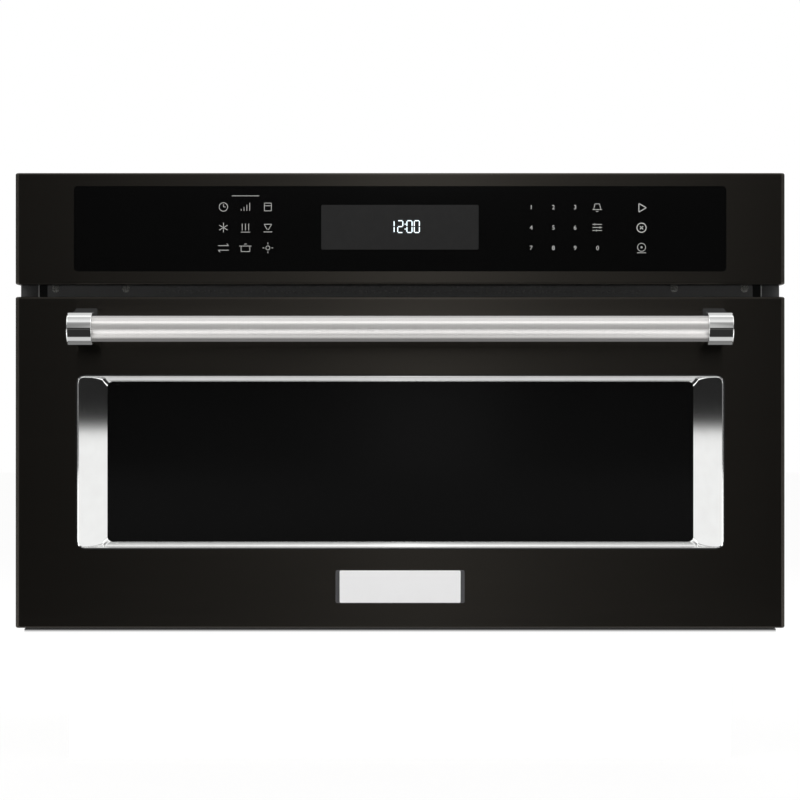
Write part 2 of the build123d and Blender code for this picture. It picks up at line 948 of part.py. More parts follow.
# Cavity lamp in a box on the left wall, behind a glass pane
lamp_box_depth = 40.0
lamp_margin = 8.0
with BuildPart() as lamp_housing:
    block(
        (-cavity_side - lamp_box_depth, -cavity_side),
        about(lamp_port_y, lamp_port_width / 2 + lamp_margin),
        about(lamp_port_z, lamp_port_height / 2 + lamp_margin),
    )
    block(
        (-cavity_side - lamp_box_depth + cavity_gauge, -cavity_side),
        about(lamp_port_y, lamp_port_width / 2 + lamp_margin - cavity_gauge),
        about(lamp_port_z, lamp_port_height / 2 + lamp_margin - cavity_gauge),
        mode=Mode.SUBTRACT,
    )
save(lamp_housing, "lamp_housing")

bulb_radius = 10.0
bulb_base = -cavity_side - lamp_box_depth + cavity_gauge
with BuildPart() as cavity_lamp:
    bar(bulb_radius * 0.7, (bulb_base, lamp_port_y, lamp_port_z), (bulb_base + 14, lamp_port_y, lamp_port_z))
    with Locations((bulb_base + 20, lamp_port_y, lamp_port_z)):
        Sphere(bulb_radius)
save(cavity_lamp, "cavity_lamp")

# Interlock: bracket behind each striker slot, with a sliding plunger and a switch
striker_middle = (striker_low + striker_high) / 2
plunger_front = striker_reach + run_clear
plunger_back = plunger_front + plunger_length
plunger_half = 6.0
switch_front = plunger_back + run_clear
shelf_top = striker_middle - plunger_half - run_clear
switch_depth = 22.0
with BuildPart() as interlock_brackets:
    for side in (-1, 1):
        middle_x = side * striker_x
        block(about(middle_x, 16), (frame_back, frame_back + 2), (striker_low - 22, striker_high + 12))
        block(
            about(middle_x, striker_slot / 2),
            (frame_back, frame_back + 2),
            (striker_low - 4, striker_high + 6),
            mode=Mode.SUBTRACT,
        )
        block(about(middle_x, 12), (frame_back, switch_front + switch_depth + 2), (shelf_top - 2, shelf_top))
        block(
            about(middle_x, striker_slot / 2),
            (frame_back, striker_reach + 1),
            (shelf_top - 2, shelf_top),
            mode=Mode.SUBTRACT,
        )
save(interlock_brackets, "interlock_brackets")

with BuildPart() as interlock_plungers:
    for side in (-1, 1):
        block(
            about(side * striker_x, striker_gauge / 2 + 1),
            (plunger_front, plunger_back),
            about(striker_middle, plunger_half),
        )
save(interlock_plungers, "interlock_plungers")

with BuildPart() as interlock_switches:
    for side in (-1, 1):
        block(
            about(side * striker_x, 8),
            (switch_front, switch_front + switch_depth),
            (shelf_top, shelf_top + 28),
        )
save(interlock_switches, "interlock_switches")

# Cable gland in the rear panel
gland_flange = 3.0
gland_tail = 6.0
cable_bore = 4.5
with BuildPart() as cable_gland:
    bar(
        gland_hole - fit_clear,
        (gland_x, rear_inside - gland_tail, gland_z),
        (gland_x, case_depth, gland_z),
    )
    bar(gland_hole + 4, (gland_x, case_depth, gland_z), (gland_x, case_depth + gland_flange, gland_z))
    bar(
        cable_bore,
        (gland_x, rear_inside - gland_tail, gland_z),
        (gland_x, case_depth + gland_flange, gland_z),
        mode=Mode.SUBTRACT,
    )
save(cable_gland, "cable_gland")


# Control fascia: folded sheet with a window for the control glass
with BuildPart() as control_fascia:
    slab(front_width, panel_height, face, frame_face, z=panel_middle)
    fillet(faces().sort_by(Axis.Y)[0].edges().filter_by(Axis.Z), radius=side_fold)
    fillet(faces().sort_by(Axis.Y)[0].edges().filter_by(Axis.X), radius=edge_fold)
    slab(
        front_width - 2 * skin_gauge,
        panel_height - 2 * skin_gauge,
        face + skin_gauge,
        frame_face,
        z=panel_middle,
        corner=edge_fold,
        mode=Mode.SUBTRACT,
    )
    slab(
        control_glass_width,
        control_glass_height,
        face,
        face + skin_gauge,
        z=panel_middle,
        corner=control_glass_corner,
        mode=Mode.SUBTRACT,
    )
    block(
        about(0, front_width / 2 - skin_gauge),
        (frame_face - 4, frame_face),
        (panel_low, panel_low + skin_gauge),
        mode=Mode.SUBTRACT,
    )
save(control_fascia, "control_fascia")

# Control glass, flush in the fascia's window
control_front = face + control_glass_recess
control_back = control_front + control_glass_thick
with BuildPart() as control_glass:
    slab(
        control_glass_width - 2 * fit_clear,
        control_glass_height - 2 * fit_clear,
        control_front,
        control_back,
        z=panel_middle,
        corner=control_glass_corner,
    )
save(control_glass, "control_glass")

display_back = control_back + board_gap

# Control housing: plastic frame that holds the glass and the board, with feet on the front frame
fascia_inside = face + skin_gauge
housing_width = control_glass_width + 16
housing_height = panel_height - 2 * skin_gauge - 2
housing_back = -control_housing_back
boss_radius = 3.0
foot_width = 12.0
board_width = control_glass_width - 40
with BuildPart() as control_housing:
    slab(housing_width, housing_height, fascia_inside, housing_back, z=panel_middle)
    slab(
        control_glass_width,
        control_glass_height,
        fascia_inside,
        control_back,
        z=panel_middle,
        mode=Mode.SUBTRACT,
    )
    slab(
        control_glass_width - 16,
        control_glass_height - 12,
        control_back,
        control_back + control_housing_wall,
        z=panel_middle,
        mode=Mode.SUBTRACT,
    )
    slab(
        housing_width - 2 * control_housing_wall,
        housing_height - 2 * control_housing_wall,
        control_back + control_housing_wall,
        housing_back,
        z=panel_middle,
        mode=Mode.SUBTRACT,
    )
    with BuildSketch(upright(display_back, z=panel_middle)) as bosses:
        with GridLocations(board_width - 4 * boss_radius, control_glass_height - 12, 2, 2):
            Circle(boss_radius)
    extrude(bosses.sketch, amount=display_back - control_back - control_housing_wall / 2)
    for share in (-0.4, 0, 0.4):
        block(
            about(housing_width * share, foot_width / 2),
            (housing_back - 8, frame_face),
            (panel_middle + housing_height / 2 - foot_width - 12, panel_middle + housing_height / 2 - 12),
        )
        block(
            about(housing_width * share, foot_width / 2),
            (housing_back - 8, housing_back),
            (panel_middle + housing_height / 2 - foot_width - 12, panel_middle + housing_height / 2),
        )
save(control_housing, "control_housing")

# Control board with the display module soldered to it, which reaches forward to the glass
with BuildPart() as control_board:
    slab(board_width, control_glass_height, display_back, display_back + board_gauge, z=panel_middle)
    slab(display_width, display_height, control_back, display_back, z=panel_middle + display_rise)
save(control_board, "control_board")

# Door skin: folded black sheet with the window's mouth and a notch at each hinge claw
strap_low_x = claw_x + claw_gauge / 2 + 0.3
notch_across = (claw_x - claw_gauge / 2 - notch_clear, strap_low_x + strap_gauge + 1)
notch_front = hinge_y - claw_eye - 4
notch_top = hinge_height + 11
with BuildPart() as door_skin:
    slab(front_width, door_height, face, door_back, z=door_middle)
    fillet(faces().sort_by(Axis.Y)[0].edges().filter_by(Axis.Z), radius=side_fold)
    fillet(faces().sort_by(Axis.Y)[0].edges().filter_by(Axis.X), radius=edge_fold)
    slab(
        front_width - 2 * skin_gauge,
        door_height - 2 * skin_gauge,
        face + skin_gauge,
        door_back,
        z=door_middle,
        corner=edge_fold,
        mode=Mode.SUBTRACT,
    )
    slab(
        bezel_width + 2 * fit_clear,
        bezel_height + 2 * fit_clear,
        face,
        face + skin_gauge,
        z=window_middle,
        corner=bezel_corner + fit_clear,
        mode=Mode.SUBTRACT,
    )
    for side in (-1, 1):
        block(
            (side * notch_across[0], side * notch_across[1]),
            (notch_front, door_back),
            (door_lift, door_lift + skin_gauge),
            mode=Mode.SUBTRACT,
        )
        for z in screw_heights:
            bar(
                handle_screw_radius,
                (side * screw_x, face + skin_gauge, z),
                (side * screw_x, face, z),
                mode=Mode.SUBTRACT,
            )
save(door_skin, "door_skin")

# Window bezel: bright frame whose four sides slope back to the glass
rim_front = face - bezel_proud
with BuildPart() as window_bezel:
    with BuildSketch(upright(rim_front, z=window_middle)) as mouth:
        RectangleRounded(bezel_width, bezel_height, bezel_corner)
    with BuildSketch(upright(glass_front, z=window_middle)) as foot:
        RectangleRounded(
            bezel_floor_width + 2 * bezel_wall,
            bezel_floor_height + 2 * bezel_wall,
            bezel_floor_corner + bezel_wall,
        )
    loft([mouth.sketch.face(), foot.sketch.face()])
    slab(glass_width, glass_height, glass_front - bezel_wall, glass_front, z=window_middle)
    with BuildSketch(upright(rim_front, z=window_middle)) as mouth_inside:
        RectangleRounded(
            bezel_width - 2 * bezel_wall,
            bezel_height - 2 * bezel_wall,
            bezel_corner - bezel_wall,
        )
    with BuildSketch(upright(glass_front, z=window_middle)) as foot_inside:
        RectangleRounded(bezel_floor_width, bezel_floor_height, bezel_floor_corner)
    loft([mouth_inside.sketch.face(), foot_inside.sketch.face()], mode=Mode.SUBTRACT)
save(window_bezel, "window_bezel")

# Outer window glass behind the bezel
with BuildPart() as outer_glass:
    slab(glass_width, glass_height, glass_front, glass_back, z=window_middle)
save(outer_glass, "outer_glass")

# Door tray: pressed pan that closes the skin's back and carries the glass and the choke
tray_front = glass_back
tray_inside = tray_front + tray_gauge
tray_rear = door_back + tray_gauge
with BuildPart() as door_tray:
    slab(front_width - 2, door_height - 2, door_back, tray_rear, z=door_middle, corner=edge_fold)
    slab(tray_width, tray_height, tray_front, tray_rear, z=window_middle, corner=cavity_corner)
    slab(
        tray_width - 2 * tray_gauge,
        tray_height - 2 * tray_gauge,
        tray_inside,
        tray_rear,
        z=window_middle,
        corner=cavity_corner - tray_gauge,
        mode=Mode.SUBTRACT,
    )
    slab(
        tray_window_width,
        tray_window_height,
        tray_front,
        tray_inside,
        z=window_middle,
        corner=bezel_floor_corner,
        mode=Mode.SUBTRACT,
    )
    for side in (-1, 1):
        block(
            (side * notch_across[0], side * notch_across[1]),
            (door_back, tray_rear),
            (door_lift, notch_top),
            mode=Mode.SUBTRACT,
        )
save(door_tray, "door_tray")

# Screen with its choke comb: sheet across the window and a slotted wall round it
inner_glass_front = door_back
comb_gauge = 1.0
screen_gauge = 0.8
with BuildPart() as door_screen:
    slab(comb_width, comb_height, tray_inside, inner_glass_front, z=window_middle)
    slab(
        comb_width - 2 * comb_gauge,
        comb_height - 2 * comb_gauge,
        tray_inside + screen_gauge,
        inner_glass_front,
        z=window_middle,
        mode=Mode.SUBTRACT,
    )
    with BuildSketch(upright(inner_glass_front, z=window_middle)) as slots:
        with GridLocations(comb_width / comb_slots, comb_height - comb_gauge, comb_slots, 2):
            Rectangle(comb_slot_width, 2 * comb_gauge)
    extrude(slots.sketch, amount=(inner_glass_front - tray_inside) * 0.6, mode=Mode.SUBTRACT)
save(door_screen, "door_screen")

# Inner glass on the comb's edge, and the plastic choke cover round it
inner_glass_back = inner_glass_front + inner_glass_thick
cover_front = tray_rear
cover_rear = -cover_back
with BuildPart() as inner_glass:
    slab(comb_width, comb_height, inner_glass_front, inner_glass_back, z=window_middle)
save(inner_glass, "inner_glass")

with BuildPart() as choke_cover:
    slab(cover_width, cover_height, cover_front, cover_rear, z=window_middle, corner=cavity_corner)
    slab(
        comb_width + 2 * fit_clear,
        comb_height + 2 * fit_clear,
        cover_front,
        inner_glass_back,
        z=window_middle,
        mode=Mode.SUBTRACT,
    )
    slab(
        comb_width - 2 * cover_lip,
        comb_height - 2 * cover_lip,
        inner_glass_back,
        cover_rear,
        z=window_middle,
        corner=bezel_floor_corner,
        mode=Mode.SUBTRACT,
    )
save(choke_cover, "choke_cover")

# Handle: tube between two cast end brackets
bar_y = face - bar_axis_stand
with BuildPart() as handle_bar:
    bar(bar_radius, (-bar_half, bar_y, bar_height), (bar_half, bar_y, bar_height))
    bar(bar_bore, (-bar_half, bar_y, bar_height), (bar_half, bar_y, bar_height), mode=Mode.SUBTRACT)
save(handle_bar, "handle_bar")

cap_round = 1.5
post_round = 2.0
post_neck_width = cap_length - cap_round
post_foot_low = bar_height - cap_radius + post_foot_lift
post_foot_high = bar_height + cap_radius + post_foot_rise
for side, hand in ((-1, "left"), (1, "right")):
    with BuildPart() as handle_post:
        bar(
            cap_radius,
            (side * bar_half, bar_y, bar_height),
            (side * (bar_half + cap_length), bar_y, bar_height),
        )
        fillet(edges().filter_by(GeomType.CIRCLE), radius=cap_round)
        neck_x = side * (bar_half + post_neck_width / 2)
        foot_x = side * (bar_half + post_foot_width / 2)
        with BuildSketch(upright(bar_y, neck_x, bar_height)) as neck:
            RectangleRounded(post_neck_width, 2 * cap_radius - 0.1, post_round)
        with BuildSketch(upright(face, foot_x, (post_foot_low + post_foot_high) / 2)) as foot:
            RectangleRounded(post_foot_width, post_foot_high - post_foot_low, post_round)
        loft([neck.sketch.face(), foot.sketch.face()])
        for z in screw_heights:
            bar(
                handle_screw_radius,
                (side * screw_x, face - handle_screw_depth, z),
                (side * screw_x, face, z),
                mode=Mode.SUBTRACT,
            )
    save(handle_post, f"handle_post_{hand}")

# Handle screws, put in from inside the door skin
with BuildPart() as handle_screws:
    for side in (-1, 1):
        for z in screw_heights:
            bar(
                handle_screw_radius,
                (side * screw_x, face - handle_screw_depth, z),
                (side * screw_x, face + skin_gauge, z),
            )
            bar(
                2 * handle_screw_radius,
                (side * screw_x, face + skin_gauge, z),
                (side * screw_x, face + skin_gauge + handle_screw_radius, z),
            )
save(handle_screws, "handle_screws")

# Badge plate, bare, with bevelled ends
with BuildPart() as badge_plate:
    slab(badge_width, badge_height, face - badge_thick, face, z=badge_middle)
    chamfer(faces().sort_by(Axis.Y)[0].edges().filter_by(Axis.Z), length=badge_bevel, length2=2 * badge_bevel)
save(badge_plate, "badge_plate")

# Interlock strikers: hooked prongs on the back of the door
striker_pad = 1.5
hook_front = 4.0
hook_back = 10.0
hook_deep = 4.0
with BuildPart() as door_strikers:
    for side in (-1, 1):
        block(
            about(side * striker_x, 10),
            (tray_rear, tray_rear + striker_pad),
            (striker_low - 8, striker_high + 8),
        )
        block(
            about(side * striker_x, striker_gauge / 2),
            (tray_rear + striker_pad, striker_reach),
            (striker_low, striker_high),
        )
        block(
            about(side * striker_x, striker_gauge / 2),
            (hook_front, hook_back),
            (striker_low, striker_low + hook_deep),
            mode=Mode.SUBTRACT,
        )
save(door_strikers, "door_strikers")

# Hinge claws: plates that come out of the front frame and carry the hinge pins.
# A crank pin on each claw works the spring strap beside it.
crank_y = hinge_y + crank_radius * cos(pi / 4)
crank_z = hinge_height + crank_radius * sin(pi / 4)
crank_boss = crank_pin + 2
with BuildPart() as hinge_claws:
    for side in (-1, 1):
        with BuildSketch(sideways(side * claw_x - claw_gauge / 2)) as outline:
            with Locations((hinge_y, hinge_height)):
                Circle(claw_eye)
            with Locations(((hinge_y + claw_reach) / 2, (claw_arm_low + claw_arm_high) / 2)):
                Rectangle(claw_reach - hinge_y, claw_arm_high - claw_arm_low)
            with Locations((frame_back + 7 + 9, (claw_arm_low + claw_hook_high) / 2)):
                Rectangle(18, claw_hook_high - claw_arm_low)
            with Locations((crank_y, crank_z)):
                Circle(crank_boss)
            with Locations((hinge_y, hinge_height)):
                Circle(pin_radius + pin_clear, mode=Mode.SUBTRACT)
        extrude(outline.sketch, amount=claw_gauge)
        bar(
            crank_pin,
            (side * claw_x, crank_y, crank_z),
            (side * (strap_low_x + strap_gauge + 0.3), crank_y, crank_z),
        )
save(hinge_claws, "hinge_claws")

# Hinge receivers: channels on the base pan that hold the claws behind the front frame
receiver_wall = 2.0
receiver_high = 30.0
receiver_long = claw_reach - frame_back
with BuildPart() as hinge_receivers:
    for side in (-1, 1):
        across = about(side * claw_x, claw_gauge / 2 + fit_clear + receiver_wall)
        block(across, (frame_back, frame_back + receiver_long), (pan_gauge, receiver_high))
        block(
            about(side * claw_x, claw_gauge / 2 + fit_clear),
            (frame_back, frame_back + receiver_long),
            (claw_arm_low, receiver_high),
            mode=Mode.SUBTRACT,
        )
save(hinge_receivers, "hinge_receivers")

# Hinge channels in the door: two cheeks on each pin, a web, a spring stop and welding flanges
channel_side = claw_x - claw_gauge / 2 - 0.4
channel_in = (channel_side, channel_side + channel_inner)
channel_out = (channel_side - channel_gauge, channel_side + channel_inner + channel_gauge)
channel_front = notch_front + 0.5
channel_low = door_lift + skin_gauge + 0.4
channel_weld = 8.0
strap_slot_y = hinge_y + crank_radius * (1 + cos(pi / 4)) / 2
slot_half = crank_radius * (1 - cos(pi / 4)) / 2 + crank_pin + strap_slot_clear
strap_half = slot_half + strap_wall
rod_x = strap_low_x + strap_gauge / 2
rod_y = strap_slot_y - strap_half + rod_radius + 1
stop_gauge = 2.0
with BuildPart() as hinge_channels:
    for side in (-1, 1):
        outer = (side * channel_out[0], side * channel_out[1])
        inner = (side * channel_in[0], side * channel_in[1])
        block(outer, (channel_front, door_back - 1), (channel_low, channel_top))
        block(
            inner,
            (channel_front + channel_gauge, door_back - 1),
            (channel_low, channel_top),
            mode=Mode.SUBTRACT,
        )
        block(inner, (channel_front + channel_gauge, door_back - 1), (spring_low - stop_gauge, spring_low))
        bar(
            rod_radius + 0.6,
            (side * rod_x, rod_y, spring_low - stop_gauge),
            (side * rod_x, rod_y, spring_low),
            mode=Mode.SUBTRACT,
        )
        for edge, way in ((channel_out[0], -1), (channel_out[1], 1)):
            block(
                (side * edge, side * (edge + way * channel_weld)),
                (door_back - 1 - channel_gauge, door_back),
                (notch_top + 12, channel_top),
            )
            block(
                (side * edge, side * (edge - way * channel_gauge)),
                (door_back - 1 - channel_gauge, door_back),
                (notch_top + 12, channel_top),
            )
        bar(
            pin_radius,
            (side * channel_out[0], hinge_y, hinge_height),
            (side * channel_out[1], hinge_y, hinge_height),
            mode=Mode.SUBTRACT,
        )
save(hinge_channels, "hinge_channels")

with BuildPart() as hinge_pins:
    for side in (-1, 1):
        bar(
            pin_radius,
            (side * (channel_out[0] - 1), hinge_y, hinge_height),
            (side * (channel_out[1] + 1), hinge_y, hinge_height),
        )
save(hinge_pins, "hinge_pins")

# Spring rods: a slotted strap on the crank pin, a rod through the spring and its washer.
# The strap's slot is wider than the pin by the little that a straight slide departs from the circle.
strap_low = crank_z - crank_pin - strap_slot_clear - 2
strap_top = spring_low - stop_gauge - 3
washer_radius = 5.5
washer_gauge = 2.0
rod_top = spring_high + 12
with BuildPart() as spring_rods:
    for side in (-1, 1):
        strap = (side * strap_low_x, side * (strap_low_x + strap_gauge))
        block(strap, about(strap_slot_y, strap_half), (strap_low, strap_top))
        block(
            strap,
            about(strap_slot_y, slot_half),
            about(crank_z, crank_pin + strap_slot_clear),
            mode=Mode.SUBTRACT,
        )
        bar(rod_radius, (side * rod_x, rod_y, strap_top - 8), (side * rod_x, rod_y, rod_top))
        bar(
            washer_radius,
            (side * rod_x, rod_y, spring_high),
            (side * rod_x, rod_y, spring_high + washer_gauge),
        )
save(spring_rods, "spring_rods")

# Door springs: compression coils between the channel's stop and the rod's washer
spring_rise = spring_high - spring_low - 2 * spring_wire - 0.6
with BuildPart() as door_springs:
    for side in (-1, 1):
        coil = Pos(side * rod_x, rod_y, spring_low + spring_wire + 0.3) * Helix(
            pitch=spring_rise / spring_turns,
            height=spring_rise,
            radius=spring_radius - spring_wire,
        )
        with BuildSketch(Plane(origin=coil @ 0, z_dir=coil % 0)) as wire:
            Circle(spring_wire)
        sweep(wire.sketch, path=coil, is_frenet=True)
save(door_springs, "door_springs")
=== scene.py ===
# %% [markdown]
# Built-in microwave oven: the looks
#
# This lesson dresses a finished CAD model of a built-in microwave oven: a drop-down door with a
# bar handle, a control panel of black glass above it, and the sheet-metal case that slides into
# a kitchen cabinet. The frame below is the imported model. Its pieces keep their size and place,
# and each one either gets a better surface here or is replaced by a finer mesh in the same spot.

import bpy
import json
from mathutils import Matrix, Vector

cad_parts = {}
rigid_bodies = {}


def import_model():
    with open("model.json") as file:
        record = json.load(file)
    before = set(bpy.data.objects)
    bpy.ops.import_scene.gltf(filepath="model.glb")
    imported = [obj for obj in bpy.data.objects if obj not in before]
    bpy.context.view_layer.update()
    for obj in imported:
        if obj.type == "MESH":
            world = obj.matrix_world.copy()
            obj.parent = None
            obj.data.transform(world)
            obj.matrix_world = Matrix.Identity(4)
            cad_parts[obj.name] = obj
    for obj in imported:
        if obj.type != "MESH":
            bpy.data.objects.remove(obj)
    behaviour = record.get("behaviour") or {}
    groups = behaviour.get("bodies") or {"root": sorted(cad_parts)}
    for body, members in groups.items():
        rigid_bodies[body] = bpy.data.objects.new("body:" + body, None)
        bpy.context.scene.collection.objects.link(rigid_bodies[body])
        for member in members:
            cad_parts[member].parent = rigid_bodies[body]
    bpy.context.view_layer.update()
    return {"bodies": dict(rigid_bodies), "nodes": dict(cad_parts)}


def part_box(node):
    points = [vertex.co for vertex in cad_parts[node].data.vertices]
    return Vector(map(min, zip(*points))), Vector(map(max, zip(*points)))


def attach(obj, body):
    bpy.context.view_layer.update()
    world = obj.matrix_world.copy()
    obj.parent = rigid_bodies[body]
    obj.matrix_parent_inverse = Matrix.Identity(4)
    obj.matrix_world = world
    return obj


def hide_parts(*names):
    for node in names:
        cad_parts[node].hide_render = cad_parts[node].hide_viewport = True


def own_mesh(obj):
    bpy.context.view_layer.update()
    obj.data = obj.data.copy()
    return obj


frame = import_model()

# %% [markdown]
# Everything is in metres, as in the frame. Sizes are easier to read in millimetres, so a length
# is written as 12.5 * MM.

# %% Units and modules
import json
import math

import bmesh
import bpy
from mathutils import Matrix, Vector

MM = 0.001
nodes = frame["nodes"]
scene = bpy.context.scene

# %% [markdown]
# Colours are written the way a paint card or a picture editor gives them, as sRGB hex codes.
# The shader works in linear light, so one function turns a code into linear values.


# %% Colour from a hex code
def colour(code):
    """Linear RGBA of an sRGB code such as #1f1e1c."""
    channels = [int(code[i : i + 2], 16) / 255 for i in (1, 3, 5)]
    linear = [c / 12.92 if c <= 0.04045 else ((c + 0.055) / 1.055) ** 2.4 for c in channels]
    return [*linear, 1.0]


print("mid grey is", round(colour("#808080")[0], 3), "in linear light")

# %% [markdown]
# A shader is a small graph. This helper adds one node, sets what is given and links any socket
# that is handed to it, so that a material reads from top to bottom like a recipe. A node that is
# handed over stands for its first output.


# %% Add a shader node
def add_node(tree, kind, inputs=None, **settings):
    """One node of a kind. Inputs go by name or number: a value is set, a socket or node is linked."""
    node = tree.nodes.new("ShaderNode" + kind)
    for name, value in settings.items():
        setattr(node, name, value)
    for name, value in (inputs or {}).items():
        if isinstance(value, bpy.types.Node):
            value = value.outputs[0]
        if isinstance(value, bpy.types.NodeSocket):
            tree.links.new(value, node.inputs[name])
        else:
            node.inputs[name].default_value = value
    return node


def new_material(name, **sockets):
    """A material with one Principled shader, whose plain values are set on its own sockets."""
    material = bpy.data.materials.new(name)
    material.use_nodes = True
    shader = material.node_tree.nodes["Principled BSDF"]
    for socket, value in sockets.items():
        shader.inputs[socket.replace("_", " ")].default_value = value
    print("material", name)
    return material, material.node_tree, shader


def show(tree, surface):
    """Makes a node the material's surface."""
    tree.links.new(surface.outputs[0], tree.nodes["Material Output"].inputs["Surface"])


print("helpers ready")

# %% [markdown]
# ## The studio
#
# The camera looks square at the door, a little below the handle, from three metres. A long lens
# that far away keeps the panel and the door at the same scale, as a catalogue picture does.

# %% Camera
door_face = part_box("door_skin")[0].y
view_middle = -0.1 * MM
view_height = 226.8 * MM
view_distance = 3.0
frame_width = 785.2 * MM
sensor = 36.0

camera_data = bpy.data.cameras.new("camera")
camera_data.sensor_width = sensor
camera_data.lens = sensor * view_distance / frame_width
camera = bpy.data.objects.new("camera", camera_data)
camera.location = (view_middle, door_face - view_distance, view_height)
camera.rotation_euler = (math.pi / 2, 0, 0)
scene.collection.objects.link(camera)
scene.camera = camera
scene.view_settings.view_transform = "Standard"
print("lens", round(camera_data.lens, 1), "mm")

# %% [markdown]
# The oven has no feet, because a cabinet carries it. Here a plain white block under the base pan
# stands in for the cabinet, on a white floor low enough to let the door swing down. A lip as wide
# as the door lies on the block's front edge, right under the pan.

# %% Pieces of the studio
floor_level = -130.0 * MM
floor_reach = 12.0
floor_thick = 20.0 * MM
block_half = 0.33
block_front = 6.0 * MM
block_back = 0.5
block_top = -0.2 * MM
lip_half = 0.373
lip_front = -9.0 * MM
lip_under = -6.0 * MM


def new_object(name, shape, material):
    """An object with one material from a bmesh."""
    mesh = bpy.data.meshes.new(name)
    shape.to_mesh(mesh)
    shape.free()
    mesh.materials.append(material)
    piece = bpy.data.objects.new(name, mesh)
    scene.collection.objects.link(piece)
    return piece


def stage_piece(name, shape, material):
    """An object of the studio, which is not part of the oven."""
    piece = new_object(name, shape, material)
    return piece


def box_in(shape, low, high):
    """Adds a box between two corners to a bmesh."""
    low, high = Vector(low), Vector(high)
    verts = bmesh.ops.create_cube(shape, size=1.0)["verts"]
    bmesh.ops.scale(shape, vec=high - low, verts=verts)
    bmesh.ops.translate(shape, vec=(low + high) / 2, verts=verts)
    return shape


def ramp(tree, value, stops, low=0.0, high=1.0, ease=False):
    """A curve through (position, level) stops. Positions run from low to high, and levels may pass 1."""
    spread = add_node(tree, "MapRange", {"Value": value, 1: low, 2: high})
    top = max(level for _, level in stops)
    curve = add_node(tree, "ValToRGB", {0: spread})
    curve.color_ramp.interpolation = "EASE" if ease else "LINEAR"
    while len(curve.color_ramp.elements) < len(stops):
        curve.color_ramp.elements.new(0.5)
    for element, (position, level) in zip(curve.color_ramp.elements, stops):
        element.position = (position - low) / (high - low)
        element.color = (level / top, level / top, level / top, 1.0)
    return add_node(tree, "Math", {0: curve, 1: top}, operation="MULTIPLY")


print("floor at", round(floor_level / MM), "mm, block", round(2 * block_half / MM), "mm wide")

# %% [markdown]
# Floor and block are mostly white light to the camera and plain paint to the lamps, so a soft
# shadow stays on them. The block and its lip also carry a painted shadow: their white glow is
# ramped down to black over the last few millimetres under the pan, where hardly any light gets in.
# In a mirror the floor is not one white. It is white close to the oven and dark in front of it, as
# if black felt lay there that widens away from the oven, which is how a photographer puts a crisp
# dark line into polished metal. Beside the felt the floor is lit brightly, and the brushed tube,
# which spreads what it sees from side to side, picks that up.

# %% White paper for floor and block
paper_white = 1.03
# Painted shadow: the glow of the block and lip at each height, fading to black right under the pan
painted_shadow_under_pan = [(-4.0 * MM, paper_white), (-2.6 * MM, 0.7), (-1.3 * MM, 0.09), (0.0, 0.0)]
felt_half = 0.43
felt_fan = 0.25
felt_start = 0.33
felt_edge = 0.12
mirror_reach = 6.0
# Light given to mirrors at each distance in front of the case: down the middle, and beside the felt
felt_levels = [(0.0, 0.5), (0.09, 0.66), (0.14, 0.72), (0.31, 0.66), (felt_start, 0.03)]
felt_levels += [(2.5, 0.03), (5.0, 0.1)]
beside_levels = [(0.0, 0.7), (0.1, 0.9), (0.2, 2.0), (0.3, 2.6), (0.6, 2.5), (0.9, 2.0), (1.3, 1.7)]
beside_levels += [(2.3, 1.2), (mirror_reach, 0.8)]


def white_paper(name, shadow_share, under_pan=False):
    """Paper that is white to the camera, keeps a share of real shadow, and is arranged for mirrors."""
    paper, tree, shader = new_material(name, Base_Color=colour("#f4f3f1"), Roughness=0.9)
    ray = add_node(tree, "LightPath").outputs
    place = add_node(tree, "TexCoord").outputs["Object"]
    spot = add_node(tree, "SeparateXYZ", {0: place}).outputs
    seen = add_node(
        tree, "Math", {0: ray["Is Camera Ray"], 1: ray["Is Transmission Ray"]}, operation="MAXIMUM"
    )
    share = add_node(tree, "Math", {0: seen, 1: 1 - shadow_share}, operation="MULTIPLY")
    glow = paper_white
    # Painted shadow under the pan: here the glow follows the height instead of being even
    if under_pan:
        glow = ramp(tree, spot["Z"], painted_shadow_under_pan, painted_shadow_under_pan[0][0], painted_shadow_under_pan[-1][0], ease=True)
    white = add_node(tree, "Emission", {"Color": colour("#ffffff"), "Strength": glow})
    lit = add_node(tree, "MixShader", {0: share, 1: shader, 2: white})

    aside = add_node(tree, "Math", {0: spot["X"]}, operation="ABSOLUTE")
    ahead = add_node(tree, "Math", {0: spot["Y"], 1: -1.0}, operation="MULTIPLY")
    edge = add_node(tree, "Math", {0: ahead, 1: felt_fan, 2: felt_half}, operation="MULTIPLY_ADD")
    beside = add_node(tree, "Math", {0: aside, 1: edge}, operation="SUBTRACT")
    off_felt = add_node(tree, "MapRange", {"Value": beside, 1: 0.0, 2: felt_edge, 3: 0.0, 4: 1.0})
    felt = ramp(tree, ahead, felt_levels, 0.0, mirror_reach)
    bright = ramp(tree, ahead, beside_levels, 0.0, mirror_reach)
    level = add_node(tree, "Mix", {0: off_felt, 2: felt, 3: bright})
    mirrored = add_node(tree, "Emission", {"Color": colour("#ffffff"), "Strength": level})
    show(tree, add_node(tree, "MixShader", {0: ray["Is Glossy Ray"], 1: lit, 2: mirrored}))
    return paper


floor_low = (-floor_reach, -floor_reach, floor_level - floor_thick)
floor_high = (floor_reach, floor_reach, floor_level)
stage_piece("floor", box_in(bmesh.new(), floor_low, floor_high), white_paper("white_floor", 0.14))
block_paper = white_paper("white_block", 0.05, under_pan=True)
block_low = (-block_half, block_front, floor_level)
block_high = (block_half, block_back, block_top)
stage_piece("cabinet_block", box_in(bmesh.new(), block_low, block_high), block_paper)
lip_low = (-lip_half, lip_front, lip_under)
lip_high = (lip_half, block_front, block_top)
stage_piece("cabinet_lip", box_in(bmesh.new(), lip_low, lip_high), block_paper)
print("felt starts", round(felt_start / MM), "mm in front of the case")

